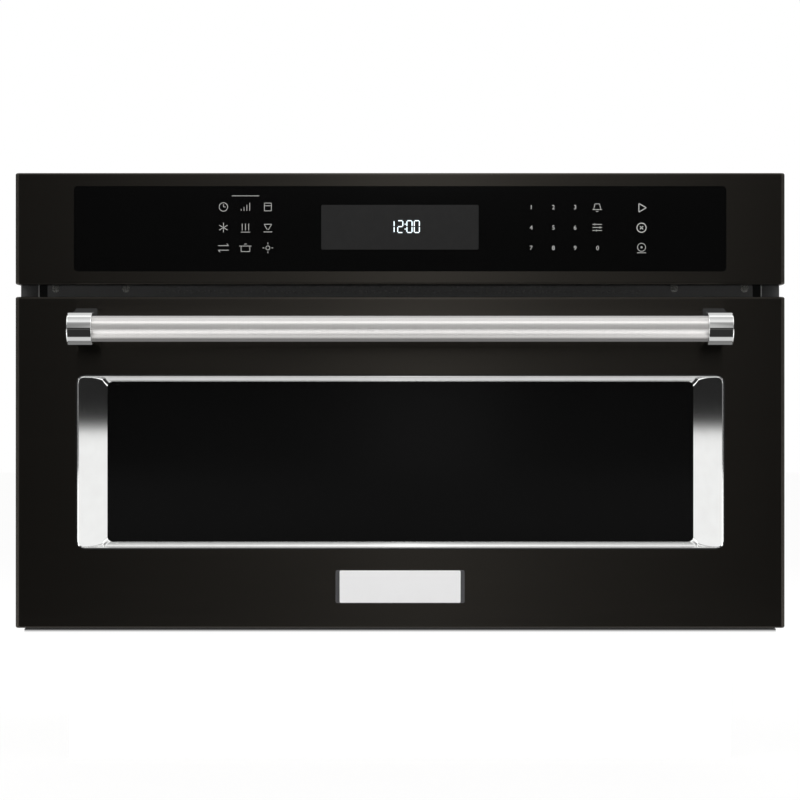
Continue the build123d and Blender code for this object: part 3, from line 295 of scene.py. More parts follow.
# %% [markdown]
# Polished metal shows its surroundings, so the surroundings are designed first. The world is
# white to the camera. To a reflection it is a studio tent: bright above, behind and to the left
# and right, and dim in front where the photographer stands, apart from one lit panel behind the
# camera that draws the soft upright glow down the middle of the brushed steel. Two dark flags
# narrow the front, and two more stand level with the door, one on each side, and draw the dark
# line down its edges.

# %% World
tent_white = 0.84
matt_white = 0.62
lowest = -0.2

# Each list gives (height of the direction, light) from the level of the floor up to the zenith
front_levels = [(lowest, 0.035), (0.04, 0.02), (0.082, 0.015), (0.105, 0.22), (0.42, 0.25), (0.56, 0.28)]
front_levels += [(0.68, 0.42), (0.78, 1.0), (0.88, 0.9), (0.95, 0.75), (1.0, 0.68)]
panel_heights = [(lowest, 0.07), (0.0, 0.07), (0.03, 0.0), (0.082, 0.0), (0.1, 1.0), (0.55, 1.0), (0.85, 0.3)]
side_levels = [(lowest, 2.2), (0.0, 2.1), (0.12, 1.7), (0.25, 1.4), (0.42, 1.0), (0.56, 1.05), (0.68, 1.5)]
side_levels += [(0.77, 2.5), (0.84, 1.6), (0.93, 0.55), (1.0, 0.5)]
# The panel behind the camera is a little to the right. Its light by the turn away from its middle
panel_turn = 0.009
panel_levels = [(0.0, 1.65), (0.015, 1.45), (0.028, 0.8), (0.045, 0.52), (0.07, 0.47), (0.1, 0.28)]
panel_levels += [(0.118, 0.04), (0.14, 0.0)]
# The flags by their turn away from straight ahead of the oven, in degrees
front_flags = [(11, 1.0), (17, 0.25), (32, 0.25)]
side_flags = [(60, 0.0), (68, 1.0), (140, 1.0), (155, 0.0)]


def in_radians(stops):
    """The same stops with their positions turned from degrees to radians."""
    return [(math.radians(position), level) for position, level in stops]


world = bpy.data.worlds.new("studio")
scene.world = world
world.use_nodes = True
tree = world.node_tree
background = tree.nodes["Background"]
direction = add_node(tree, "TexCoord").outputs["Generated"]
part = add_node(tree, "SeparateXYZ", {0: direction}).outputs
aside = add_node(tree, "Math", {0: part["X"]}, operation="ABSOLUTE")
ahead = add_node(tree, "Math", {0: part["Y"], 1: -1.0}, operation="MULTIPLY")
turned = add_node(tree, "Math", {0: aside, 1: ahead}, operation="ARCTAN2")
print("directions from", lowest, "to 1 have their own light")

# %% The front of the tent
front = ramp(tree, part["Z"], front_levels, lowest)
flags = ramp(tree, turned, in_radians(front_flags), 0.0, math.radians(40), ease=True)
over_flags = add_node(tree, "MapRange", {"Value": part["Z"], 1: 0.2, 2: 0.45, 3: 0.0, 4: 1.0})
flagged = add_node(tree, "Mix", {0: over_flags, 2: flags, 3: 1.0})
front = add_node(tree, "Math", {0: front, 1: flagged}, operation="MULTIPLY")
signed = add_node(tree, "Math", {0: part["X"], 1: ahead}, operation="ARCTAN2")
off_middle = add_node(tree, "Math", {0: signed, 1: panel_turn}, operation="SUBTRACT")
off_middle = add_node(tree, "Math", {0: off_middle}, operation="ABSOLUTE")
wide = ramp(tree, off_middle, panel_levels, 0.0, 0.2)
tall = ramp(tree, part["Z"], panel_heights, lowest)
panel = add_node(tree, "Math", {0: wide, 1: tall}, operation="MULTIPLY")
front = add_node(tree, "Math", {0: front, 1: panel}, operation="ADD")
print("front made")

# %% The sides, the back and what each kind of ray sees
sides = ramp(tree, part["Z"], side_levels, lowest, ease=True)
beyond = add_node(
    tree, "MapRange", {"Value": turned, 1: math.radians(33), 2: math.radians(40), 3: 0.0, 4: 1.0}
)
around = add_node(tree, "Mix", {0: beyond, 2: front, 3: sides})
behind = add_node(tree, "MapRange", {"Value": part["Y"], 1: -0.1, 2: 0.2, 3: 0.0, 4: 1.0})
above = add_node(tree, "MapRange", {"Value": part["Z"], 1: 0.35, 2: 0.6, 3: tent_white, 4: 1.3})
tented = add_node(tree, "Mix", {0: behind, 2: around, 3: above})
flag_turn = ramp(tree, turned, in_radians(side_flags), 0.0, math.pi, ease=True)
flag_tall = add_node(tree, "MapRange", {"Value": part["Z"], 1: 0.3, 2: 0.45, 3: 0.94, 4: 0.0})
dark = add_node(tree, "Math", {0: flag_turn, 1: flag_tall}, operation="MULTIPLY")
kept = add_node(tree, "Math", {0: 1.0, 1: dark}, operation="SUBTRACT")
tented = add_node(tree, "Math", {0: tented, 1: kept}, operation="MULTIPLY")
ray = add_node(tree, "LightPath").outputs
direct = add_node(tree, "Math", {0: ray["Is Camera Ray"], 1: ray["Is Transmission Ray"]}, operation="MAXIMUM")
mirrors = add_node(tree, "Mix", {0: direct, 2: tented, 3: 1.0})
strength = add_node(tree, "Mix", {0: ray["Is Diffuse Ray"], 2: mirrors, 3: matt_white})
tree.links.new(strength.outputs[0], background.inputs["Strength"])
background.inputs["Color"].default_value = colour("#ffffff")
print("world made of", len(tree.nodes), "nodes")

# %% [markdown]
# Cards and lamps do the rest. A card is a plane that glows only in reflections. A low card on each
# side puts the bright lower half into the slopes of the window's frame, and shines on nothing but
# the frame and the handle's tube: Blender's light linking lets a light see chosen objects only.
# The lamps are soft boxes that light painted and matt surfaces and stay out of the mirrors.


# %% Cards
def card(name, corner, side, up, levels, behind=None):
    """A plane that glows only in reflections, with its (share of the way up, light) stops.

    Behind it can be "clear", so that its back doesn't glow, or "added", so that it glows over the rest."""
    sheet = bmesh.new()
    sheet.loops.layers.uv.new("card")
    bmesh.ops.create_grid(sheet, x_segments=1, y_segments=1, size=0.5, calc_uvs=True)
    corner, side, up = Vector(corner), Vector(side), Vector(up)
    columns = (*side, 0), (*up, 0), (*side.cross(up), 0), (*(corner + (side + up) / 2), 1)
    bmesh.ops.transform(sheet, matrix=Matrix(columns).transposed(), verts=sheet.verts)
    material, tree, _ = new_material(name)
    along = add_node(tree, "SeparateXYZ", {0: add_node(tree, "TexCoord").outputs["UV"]}).outputs["Y"]
    strength = ramp(tree, along, levels)
    surface = add_node(tree, "Emission", {"Color": colour("#ffffff"), "Strength": strength})
    if behind:
        sheer = add_node(tree, "BsdfTransparent")
        if behind == "added":
            surface = add_node(tree, "AddShader", {0: surface, 1: sheer})
        else:
            back = add_node(tree, "NewGeometry").outputs["Backfacing"]
            surface = add_node(tree, "MixShader", {0: back, 1: surface, 2: sheer})
    show(tree, surface)
    piece = stage_piece(name, sheet, material)
    piece.visible_camera = False
    piece.visible_diffuse = False
    piece.visible_shadow = False
    piece.visible_transmission = False
    return piece


card_distance = 1.05
card_back = -0.86
card_wide = 0.42
card_top = 0.62
card_tall = card_top - floor_level
# The card's light at each height above the oven's base
card_rows = [(-0.06, 2.2), (-0.02, 1.0), (0.164, 1.0), (0.177, 0.86), (0.187, 0.34), (0.196, 0.075)]
card_rows += [(0.206, 0.03), (0.226, 0.018), (0.29, 0.018), (0.34, 0.42), (card_top, 0.42)]
card_levels = [((z - floor_level) / card_tall, light) for z, light in card_rows]

# The bezel joins this collection once it is made
side_mirrors = bpy.data.collections.new("side mirrors")
side_mirrors.objects.link(nodes["handle_bar"])
for side, hand in ((-1, "left"), (1, "right")):
    corner = (side * card_distance, card_back, floor_level)
    beside = card(f"side_card_{hand}", corner, (0, card_wide, 0), (0, 0, card_tall), card_levels)
    beside.light_linking.receiver_collection = side_mirrors
print("side cards", round(card_tall, 2), "m tall")

# %% Lamps
lamp_aim = Vector((0, 0, 0.2))


def soft_box(name, place, size, power):
    """A square lamp that lights matt surfaces and doesn't show in reflections."""
    data = bpy.data.lights.new(name, "AREA")
    data.shape = "SQUARE"
    data.size = size
    data.energy = power
    lamp = bpy.data.objects.new(name, data)
    lamp.location = place
    lamp.rotation_euler = (lamp_aim - Vector(place)).to_track_quat("-Z", "Y").to_euler()
    lamp.visible_glossy = False
    scene.collection.objects.link(lamp)


soft_box("key_lamp", (-1.6, -2.0, 2.2), 1.8, 30.0)
soft_box("fill_lamp", (1.8, -1.8, 1.6), 1.8, 20.0)
soft_box("back_lamp", (0.3, 2.2, 2.0), 2.0, 26.0)

# %% [markdown]
# The handle stands close to the door, so the upper and lower edges of its tube would mirror only
# black steel. A photographer slips narrow white strips behind it. These two lie on the door just
# above and below the handle, glow only to what is in front of them, and swing with the door.

# %% Strips behind the handle
strip_half = 0.34
strip_gap = 1.5 * MM
above_low = 0.308
above_tall = 0.162
below_low = 0.06
below_tall = 0.212
# Dim at the height of the handle's posts, then bright
above_rows = [(0.0, 0.03), (0.011, 0.04), (0.013, 0.2), (0.016, 0.5), (0.03, 0.7), (above_tall, 0.8)]
above_levels = [(up / above_tall, light) for up, light in above_rows]
below_levels = [(0.0, 0.2), (1.0, 0.24)]

for name, low, tall, levels in (
    ("strip_above", above_low, above_tall, above_levels),
    ("strip_below", below_low, below_tall, below_levels),
):
    corner = (-strip_half, door_face - strip_gap, low)
    strip = card(name, corner, (2 * strip_half, 0, 0), (0, 0, tall), levels, behind="clear")
    strip.parent = frame["bodies"]["door"]
    print(name, round(tall / MM), "mm tall")

# %% [markdown]
# The tube of the handle is brushed and faces a whole half circle, so the felt would leave a dull
# stripe along its lower half. One more card lies on the felt. It is linked to the tube alone,
# which is Blender's way of holding a reflector where only one part can see it.

# %% A card for the tube alone
tray_half = 2.5
tray_near = 0.1
tray_long = 4.8
tray_lift = 10 * MM
# Its light at each distance in front of the case. Most comes from half a metre to a metre away
tray_rows = [(0.1, 0.1), (0.15, 0.2), (0.24, 0.18), (0.33, 0.28), (0.43, 0.52), (0.57, 0.72)]
tray_rows += [(0.76, 0.7), (1.12, 0.5), (1.9, 0.24), (4.9, 0.19)]
tray_levels = [((ahead - tray_near) / tray_long, light) for ahead, light in tray_rows]
corner = (-tray_half, -tray_near, floor_level + tray_lift)
side = (2 * tray_half, 0, 0)
tray = card("tray_for_the_tube", corner, side, (0, -tray_long, 0), tray_levels, behind="added")
tube_only = bpy.data.collections.new("tube only")
tube_only.objects.link(nodes["handle_bar"])
tray.light_linking.receiver_collection = tube_only

# %% [markdown]
# ## Finishes
#
# Most finishes share one idea: a pattern that runs from 0 to 1 moves the colour, the roughness
# and the height a little, all together, as a scratch or a crystal does.

# %% A surface that follows a pattern
# Most of a noise texture's values lie between these two
noise_range = (0.3, 0.7)


def follow(tree, shader, pattern, dark, light, rough=None, over=(0.0, 1.0), bump=0.0, bump_mm=0.1):
    """Colour, roughness and height that follow a pattern. Roughness runs between two levels of it."""
    shade = add_node(tree, "Mix", {0: pattern, 6: colour(dark), 7: colour(light)}, data_type="RGBA")
    tree.links.new(shade.outputs[2], shader.inputs["Base Color"])
    if rough:
        ends = {1: over[0], 2: over[1], 3: rough[0], 4: rough[1]}
        spread = add_node(tree, "MapRange", {"Value": pattern, **ends})
        tree.links.new(spread.outputs[0], shader.inputs["Roughness"])
    if bump:
        height = add_node(tree, "Bump", {"Height": pattern, "Strength": bump, "Distance": bump_mm * MM})
        tree.links.new(height.outputs[0], shader.inputs["Normal"])


def lumps(tree, size_mm, detail=2.0):
    """Soft lumps about as big as a size in mm, which stay with the object as it moves."""
    place = add_node(tree, "TexCoord").outputs["Object"]
    return add_node(tree, "TexNoise", {"Vector": place, "Scale": 1 / (size_mm * MM), "Detail": detail})


print("noise is read from", *noise_range)

# %% [markdown]
# A brushed metal carries the long fine lines that an abrasive belt leaves. A noise pattern
# stretched along the belt's path stands for them. The lines on real satin steel are near 0.1 mm
# apart, which is too fine for this picture, so they are drawn about 1 mm apart.


# %% Grain of a brushed surface
def grain(tree, shader, line_mm, dark, light, rough, bump=0.0, bump_mm=0.1):
    """Brushed lines. line_mm is the size of a line on each of X, Y and Z."""
    place = add_node(tree, "TexCoord").outputs["Object"]
    scale = [1 / (size * MM) for size in line_mm]
    stretched = add_node(tree, "Mapping", {"Vector": place, "Scale": scale})
    lines = add_node(tree, "TexNoise", {"Vector": stretched, "Scale": 1.0, "Detail": 3.0, "Roughness": 0.62})
    follow(tree, shader, lines, dark, light, rough, noise_range, bump, bump_mm)
    sideways = add_node(tree, "CombineXYZ", {0: 1.0, 1: 0.0, 2: 0.0})
    tree.links.new(sideways.outputs[0], shader.inputs["Tangent"])


print("grain ready")

# %% [markdown]
# Black stainless steel: stainless sheet brushed from side to side, then coated with a dark oxide
# and a thin clear coat. The eye sees a warm near-black with a soft upright glow where a lamp
# stands, because the lines scatter light up and down and hardly sideways.

# %% Black stainless
black_stainless, tree, shader = new_material(
    "black_stainless_brushed", Metallic=1.0, Anisotropic=1.0, Anisotropic_Rotation=0.25
)
grain(tree, shader, (90, 90, 1.1), "#3e3b37", "#423f3a", (0.19, 0.21), 0.004, 0.12)

# %% [markdown]
# Bright trim: steel polished on a soft wheel and chrome plated. It is a mirror, with a very
# slight unevenness that only bends long reflections.

# %% Bright chrome
bright_trim, tree, shader = new_material("chrome_polished", Metallic=1.0, Roughness=0.045)
follow(tree, shader, lumps(tree, 14, 1.0), "#e9e9e8", "#f1f2f1", bump=0.01)

# %% [markdown]
# Satin stainless: the handle's tube is turned against a belt, so its lines run round it and
# scatter light along it.

# %% Satin stainless
satin_steel, tree, shader = new_material("stainless_satin_brushed", Metallic=1.0, Anisotropic=1.0)
grain(tree, shader, (0.9, 60, 60), "#e9e7e5", "#f2f0ee", (0.41, 0.43))

# %% [markdown]
# Black tempered glass: the window's outer pane and the control panel. The glass is clear, and a
# black print fired onto its back makes it black, so the eye sees a hard clean gloss over black.

# %% Black glass
black_glass, tree, shader = new_material("glass_black_backed", Roughness=0.06, IOR=1.52)
follow(tree, shader, lumps(tree, 120), "#040404", "#060606")

# %% [markdown]
# Clear tempered glass, as the turntable plate and the door's inner pane: cast soda-lime glass,
# faintly green where it is thick.

# %% Clear glass
clear_glass, tree, shader = new_material("glass_soda_lime", IOR=1.52, Transmission_Weight=1.0)
follow(tree, shader, lumps(tree, 40), "#eef6f2", "#f6faf8", (0.01, 0.04))

# %% [markdown]
# Paint and enamel look alike from afar: a colour under a gloss, with a fine orange-peel skin.
# Enamel is glass frit fired on steel and has dark flecks. Moulded plastic, varnish and foam differ
# from them only in tint, gloss and how coarse the skin is, so one function makes them all.


# %% Painted and enamelled steel, plastics and other coated pieces
peel_deep = 0.2 * MM


def painted(name, base, fleck, fleck_mm, rough, peel_mm, peel, coat=0.0, metallic=0.0):
    """A coated surface: flecks of a second colour, and a fine uneven skin."""
    material, tree, shader = new_material(
        name, Roughness=rough, Metallic=metallic, Coat_Weight=coat, Coat_Roughness=0.12
    )
    spots = add_node(tree, "MapRange", {"Value": lumps(tree, fleck_mm, 4.0), 1: 0.42, 2: 0.68})
    follow(tree, shader, spots, base, fleck)
    height = add_node(
        tree, "Bump", {"Height": lumps(tree, peel_mm), "Strength": peel, "Distance": peel_deep}
    )
    tree.links.new(height.outputs[0], shader.inputs["Normal"])
    return material


# Cavity enamel: grey frit with lighter flecks about 1 mm across
cavity_enamel = painted("enamel_grey_speckled", "#6d6e6f", "#8d8e8e", 1.6, 0.32, 2.2, 0.12, coat=0.4)
# Ducts, door tray and rails: dark grey epoxy powder, nearly matt, with a coarse orange peel
powder_coat = painted("powder_coat_dark_grey", "#3c3c3c", "#454545", 0.9, 0.46, 1.2, 0.18)
# The frame and the grille deep in the gap over the door get the same powder painted lighter, to make up for
# the shade that falls in the gap
powder_coat_lightened_for_gap_shade = painted("powder_coat_painted_lighter_for_gap_shade", "#686868", "#727272", 0.9, 0.46, 1.2, 0.18)
# The door's screen has the dark powder too, and gets its holes further on
screen_sheet = painted("steel_sheet_perforated", "#3c3c3c", "#454545", 0.9, 0.46, 1.2, 0.18)
# Transformer core and motor cans: blue-black varnish over steel laminations
motor_varnish = painted("varnish_over_laminations", "#4a4b4e", "#5a5b5e", 3.0, 0.42, 0.7, 0.2, metallic=0.6)
# Incoloy heater sheath: steel oxidised dark by its first heating
heater_sheath = painted("incoloy_oxidised", "#4b4641", "#6a6157", 6.0, 0.5, 1.0, 0.15, metallic=0.8)
# ABS with a spark-eroded texture from its mould
black_abs = painted("abs_moulded_black", "#191919", "#212121", 0.7, 0.55, 0.5, 0.3)
# Nylon 66, natural colour: plungers and the lamp's holder
white_nylon = painted("nylon_natural", "#d9d6cc", "#e4e1d8", 5.0, 0.45, 0.8, 0.1)
# Mica laminate: flakes pressed with silicone resin, with a pearly sheen
mica_board = painted("mica_laminate", "#b7aa90", "#d5cbb6", 4.0, 0.5, 2.5, 0.25, coat=0.3)
# The badge plate's sloping ends: aluminium anodised dark grey
badge_edge = painted("aluminium_anodised_dark", "#58585a", "#626264", 0.6, 0.35, 0.5, 0.05, metallic=0.5)
# Pale epoxy ink of the panel's signs and digits
legend_ink = painted("epoxy_ink_grey", "#b6b6b4", "#c2c2c0", 0.6, 0.5, 0.4, 0.1)
# Expanded aluminium mesh of the duct's filter: its strands are the light flecks
filter_mesh = painted("filter_expanded_aluminium", "#5e5e5c", "#8a8a88", 1.1, 0.5, 0.8, 0.4)
# A near-white strip paints the highlight along each rail's inner edge
painted_edge_highlight = painted("rail_edge_painted_highlight", "#cfcfcd", "#dcdcda", 0.5, 0.4, 0.6, 0.1, metallic=0.2)
# Closed-cell foam and rubber, nearly black, with fine pores
foam_black = painted("foam_closed_cell", "#101010", "#1a1a1a", 0.5, 0.9, 0.6, 0.5)
# Smoked acrylic over the display
smoked_window = painted("acrylic_smoked", "#252525", "#272727", 6.0, 0.07, 9.0, 0.01)
# The clock's lit bars, a cool white
clock_glow = painted("led_bar_white", "#dfe9ee", "#e9f3f7", 1.0, 0.4, 0.8, 0.05)
glow_shader = clock_glow.node_tree.nodes["Principled BSDF"]
glow_shader.inputs["Emission Color"].default_value = colour("#e2f4fb")
glow_shader.inputs["Emission Strength"].default_value = 0.9

# %% [markdown]
# The screen in the door keeps the microwaves in and lets the light out. Its round holes stand in a
# square grid, a little over 1 mm across and 2 mm apart. A Voronoi texture with no randomness has
# its points in just such a grid, so the distance to the nearest point draws the holes.

# %% Holes in the door's screen
hole_pitch = 2.0 * MM
hole_radius = 0.6 * MM
hole_edge = 0.06 * MM
screen_margin = 14 * MM

screen_low, screen_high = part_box("inner_glass")
screen_middle = (screen_low + screen_high) / 2
screen_half = (screen_high - screen_low) / 2
tree = screen_sheet.node_tree
shader = tree.nodes["Principled BSDF"]
coating = shader.inputs["Base Color"].links[0].from_socket
part = add_node(tree, "SeparateXYZ", {0: add_node(tree, "TexCoord").outputs["Object"]}).outputs
plane = add_node(tree, "CombineXYZ", {"X": part["X"], "Y": part["Z"]})
grid = add_node(
    tree,
    "TexVoronoi",
    {"Vector": plane, "Scale": 1 / hole_pitch, "Randomness": 0.0},
    voronoi_dimensions="2D",
)
inner = (hole_radius - hole_edge) / hole_pitch
outer = (hole_radius + hole_edge) / hole_pitch
holes = add_node(tree, "MapRange", {"Value": grid, 1: inner, 2: outer, 3: 1.0, 4: 0.0})
for axis, side in (("X", 0), ("Z", 2)):
    reach = screen_half[side] - screen_margin
    within = add_node(tree, "Math", {0: part[axis], 1: screen_middle[side], 2: reach}, operation="COMPARE")
    holes = add_node(tree, "Math", {0: holes, 1: within}, operation="MULTIPLY")
# Painted shade: each hole is coloured near black for the dark seen through it
holes_painted_dark = add_node(tree, "Mix", {0: holes, 6: coating, 7: colour("#050505")}, data_type="RGBA")
tree.links.new(holes_painted_dark.outputs[2], shader.inputs["Base Color"])
print("screen of", round(2 * screen_half[0] / MM), "by", round(2 * screen_half[2] / MM), "mm")

# %% [markdown]
# Galvanised sheet: steel dipped in molten zinc, which freezes in crystals a few millimetres to
# a centimetre across. Each crystal, called a spangle, reflects a little differently.

# %% Galvanised sheet
galvanised, tree, shader = new_material("galvanised_spangle", Metallic=1.0)
place = add_node(tree, "TexCoord").outputs["Object"]
crystals = add_node(tree, "TexVoronoi", {"Vector": place, "Scale": 1 / (9 * MM), "Randomness": 1.0})
tone = add_node(tree, "SeparateColor", {0: crystals.outputs["Color"]})
spangle = add_node(tree, "Mix", {0: 0.3, 2: tone, 3: lumps(tree, 1.4, 4.0)})
follow(tree, shader, spangle, "#b4b8bb", "#cdd0d2", (0.34, 0.5), bump=0.12)

# %% [markdown]
# Plain metals that aren't brushed differ in tint and in how coarse their skin is: bright zinc on
# fasteners, aluminium as it leaves the mill or the die, and the badge plate's aluminium, which is
# bead-blasted and clear anodised and scatters light almost as paper does.


# %% Plain metals
def plain_metal(name, dark, light, grain_mm, rough, bump, bump_mm=0.1, detail=4.0, metallic=1.0):
    """A metal with a fine even skin."""
    material, tree, shader = new_material(name, Metallic=metallic)
    follow(tree, shader, lumps(tree, grain_mm, detail), dark, light, rough, noise_range, bump, bump_mm)
    return material


zinc_plate = plain_metal("zinc_plated_steel", "#b6b6b0", "#c9c9c5", 1.5, (0.2, 0.32), 0.08)
mill_aluminium = plain_metal("aluminium_as_cast", "#bfc0c2", "#cfd0d2", 0.8, (0.38, 0.5), 0.2)
badge_satin = plain_metal(
    "aluminium_blasted_anodised", "#eeeeef", "#f3f3f4", 0.5, (0.42, 0.5), 0.12, 0.05, 3.0, metallic=0.15
)

# %% [markdown]
# Enamelled copper wire: bright copper under a clear amber varnish, wound in close turns. The
# turns are 1.2 mm apart and go round the coil's upright core, so they show as level lines.

# %% Copper windings
wire_pitch = 1.2 * MM
# A wave texture of scale 1 has a little over three bands in each unit of length
bands_in_unit = 3.2
copper_wire, tree, shader = new_material(
    "copper_enamelled_wire", Metallic=1.0, Roughness=0.3, Coat_Weight=0.6, Coat_Roughness=0.15
)
place = add_node(tree, "TexCoord").outputs["Object"]
turns = add_node(
    tree,
    "TexWave",
    {"Vector": place, "Scale": 1 / wire_pitch / bands_in_unit, "Distortion": 0.4},
    bands_direction="Z",
)
follow(tree, shader, turns.outputs["Fac"], "#7a3b14", "#c9793a", bump=0.5, bump_mm=0.4)

# %% [markdown]
# Printed circuit board: glass-epoxy under green solder mask. Square cells of a slightly lighter
# green stand for the copper areas beneath the mask.

# %% Circuit board
solder_mask, tree, shader = new_material("solder_mask_green", Roughness=0.28, Coat_Weight=0.3)
place = add_node(tree, "TexCoord").outputs["Object"]
areas = add_node(tree, "TexVoronoi", {"Vector": place, "Scale": 1 / (7 * MM)}, distance="CHEBYCHEV")
tone = add_node(tree, "SeparateColor", {0: areas.outputs["Color"]})
follow(tree, shader, tone.outputs[1], "#0d3b22", "#1a5a35")

# %% [markdown]
# Each CAD piece came with the name of its finish. Those that stay as they are get the material
# made for it here, and the rest are replaced further on.

# %% Put the finishes on the CAD pieces
finish_of = {
    "black_stainless": black_stainless,
    "polished_trim": bright_trim,
    "satin_stainless": satin_steel,
    "tinted_glass": black_glass,
    "clear_glass": clear_glass,
    "cavity_enamel": cavity_enamel,
    "grey_coated_steel": powder_coat,
    "galvanised_steel": galvanised,
    "plated_steel": zinc_plate,
    "motor_steel": motor_varnish,
    "heater_sheath": heater_sheath,
    "cast_aluminium": mill_aluminium,
    "copper_wire": copper_wire,
    "mica_sheet": mica_board,
    "black_plastic": black_abs,
    "white_plastic": white_nylon,
    "circuit_board": solder_mask,
}
# The frame and grille take the powder painted lighter against the shade in the gap
own_finish = {"front_frame": powder_coat_lightened_for_gap_shade, "vent_grille": powder_coat_lightened_for_gap_shade, "door_screen": screen_sheet}
for name, node in nodes.items():
    slot = node.data.materials[0].name.split(".")[0]
    node.data.materials[0] = own_finish.get(name, finish_of[slot])
print(len(nodes), "pieces in", len({node.data.materials[0] for node in nodes.values()}), "finishes")

# %% [markdown]
# ## Helpers for the new pieces
#
# A pressed or cast part is often a stack of outlines, one behind the other, with a skin between
# them. Here an outline is a rounded rectangle standing upright at a depth y. Blender makes it from
# one square: scale it, stand it up, round its four corners and keep only its edge.


# %% A stack of upright rounded rectangles
def outline(shape, width, height, corner, depth, middle, steps):
    """The edges of an upright rounded rectangle. Sizes in metres, middle is (x, z)."""
    verts = bmesh.ops.create_grid(shape, x_segments=1, y_segments=1, size=0.5)["verts"]
    bmesh.ops.scale(shape, vec=(width, height, 1.0), verts=verts)
    stand = Matrix.Translation((middle[0], depth, middle[1])) @ Matrix.Rotation(math.pi / 2, 4, "X")
    bmesh.ops.transform(shape, matrix=stand, verts=verts)
    before = set(shape.edges) - {edge for vert in verts for edge in vert.link_edges}
    bmesh.ops.bevel(
        shape, geom=verts, offset=corner, segments=steps, profile=0.5, affect="VERTICES", material=-1
    )
    faces = [face for face in shape.faces if not set(face.edges) & before]
    edges = [edge for face in faces for edge in face.edges]
    bmesh.ops.delete(shape, geom=faces, context="FACES_ONLY")
    return edges


def cap(shape, edges):
    """Closes an outline with one face."""
    return bmesh.ops.contextual_create(shape, geom=edges)["faces"]


def stack(shape, rows, steps, closed=True):
    """Joins outlines by bands of faces. A row is the width, height, corner, depth and middle."""
    loops = [outline(shape, *row, steps) for row in rows]
    faces = []
    for first, second in zip(loops, loops[1:]):
        faces += bmesh.ops.bridge_loops(shape, edges=first + second)["faces"]
    if closed:
        faces += cap(shape, loops[0]) + cap(shape, loops[-1])
    return faces


def inset(wide, tall, front, middle, rows):
    """Outlines inside each other. A row, in mm: in from the sides, in from the top, depth, corner."""
    sizes = [(wide - 2 * across * MM, tall - 2 * up * MM) for across, up, _, _ in rows]
    return [(*size, row[3] * MM, front + row[2] * MM, middle) for size, row in zip(sizes, rows)]


print("outlines ready")

# %% [markdown]
# Every new piece ends the same way: its normals face outwards, its curved faces shade smoothly
# while its sharp edges stay sharp, and it rides on a body and stands for the CAD piece it covers.

# %% Finish a piece
weld = 0.002 * MM
sheet_thick = 0.5 * MM


def face_room(shape):
    """Turns the faces of an open shell towards the room in front of the oven."""
    bmesh.ops.recalc_face_normals(shape, faces=shape.faces)
    if sum(face.normal.y * face.calc_area() for face in shape.faces) > 0:
        bmesh.ops.reverse_faces(shape, faces=shape.faces)


def soften(shape, size):
    """Rounds all edges of a small box."""
    bmesh.ops.bevel(
        shape, geom=shape.edges[:], offset=size, segments=2, profile=0.5, affect="EDGES", material=-1
    )


def finish_piece(name, shape, material, body, replaced=(), smooth_below=35.0, solid=True, flat=True):
    """A mesh object from a bmesh, riding on a body."""
    bmesh.ops.remove_doubles(shape, verts=shape.verts, dist=weld)
    if solid:
        bmesh.ops.recalc_face_normals(shape, faces=shape.faces)
    for face in shape.faces:
        face.smooth = True
    for edge in shape.edges:
        joined = len(edge.link_faces) == 2
        edge.smooth = joined and edge.calc_face_angle(0.0) < math.radians(smooth_below)
    piece = new_object(name, shape, material)
    if flat:
        even = piece.modifiers.new("flat faces stay flat", "WEIGHTED_NORMAL")
        even.mode = "FACE_AREA"
        even.weight = 100
        even.keep_sharp = True
    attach(piece, body)
    if replaced:
        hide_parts(*replaced)
    print(name, len(piece.data.polygons), "faces")
    return piece


print("edges closer than", round(weld / MM, 4), "mm are joined")

# %% [markdown]
# ## The window's bright frame
#
# The frame is pressed from bright sheet. A thin bead runs round its mouth. Its left and right
# sides lean far in towards the glass, so they mirror the far side of the room. The top and bottom
# go almost straight back, and then round over onto the glass, which gives the thin bright bands
# above and below the window.

# %% The bezel's mouth
bezel_low, bezel_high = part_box("window_bezel")
# The pressed frame is a little smaller than the CAD frame, and sits a little right of it and higher
bezel_trim = 1.7 * MM
bezel_aside = 0.3 * MM
bezel_raise = 0.4 * MM
bezel_middle = (bezel_aside, (bezel_low.z + bezel_high.z) / 2 + bezel_raise)
mouth_wide = bezel_high.x - bezel_low.x - bezel_trim
mouth_high = 169.4 * MM
mouth_round = 8.0

# Each row, in mm: in from the left and right, in from the top and bottom, depth, radius of the corner
bezel_rows = [(0.0, 0.0, 4.0, mouth_round), (0.0, 0.0, 0.8, mouth_round), (0.06, 0.06, 0.64, 7.94)]
bezel_rows += [(0.4, 0.4, 0.32, 7.6), (0.74, 0.74, 0.04, 7.3)]
bezel_rows += [(0.94, 0.94, 0.0, 7.1), (1.12, 1.08, 0.14, 6.9)]
print("mouth", round(mouth_wide / MM, 1), "by", round(mouth_high / MM, 1), "mm")

# %% [markdown]
# The rounded corner of the mouth goes straight back until it meets the slope, so it gets sharper.
# From half way down the slope a soft hollow grows in the corner, out to the window's own corners.

# %% The bezel's slopes
slope_start = 1.3
slope_end = 27.9
slope_top = 1.15
slope_draft = 0.02
slope_shallow = 0.5
slope_deep = 20.3
hollow_start = 11.0
hollow_least = 0.35
hollow_most = 5.0


def hollow_at(across):
    """The radius of the hollow in the corner, at a distance in from the mouth's edge."""
    share = max(across - hollow_start, 0.0) / (slope_end - hollow_start)
    return hollow_least + (hollow_most - hollow_least) * share**2


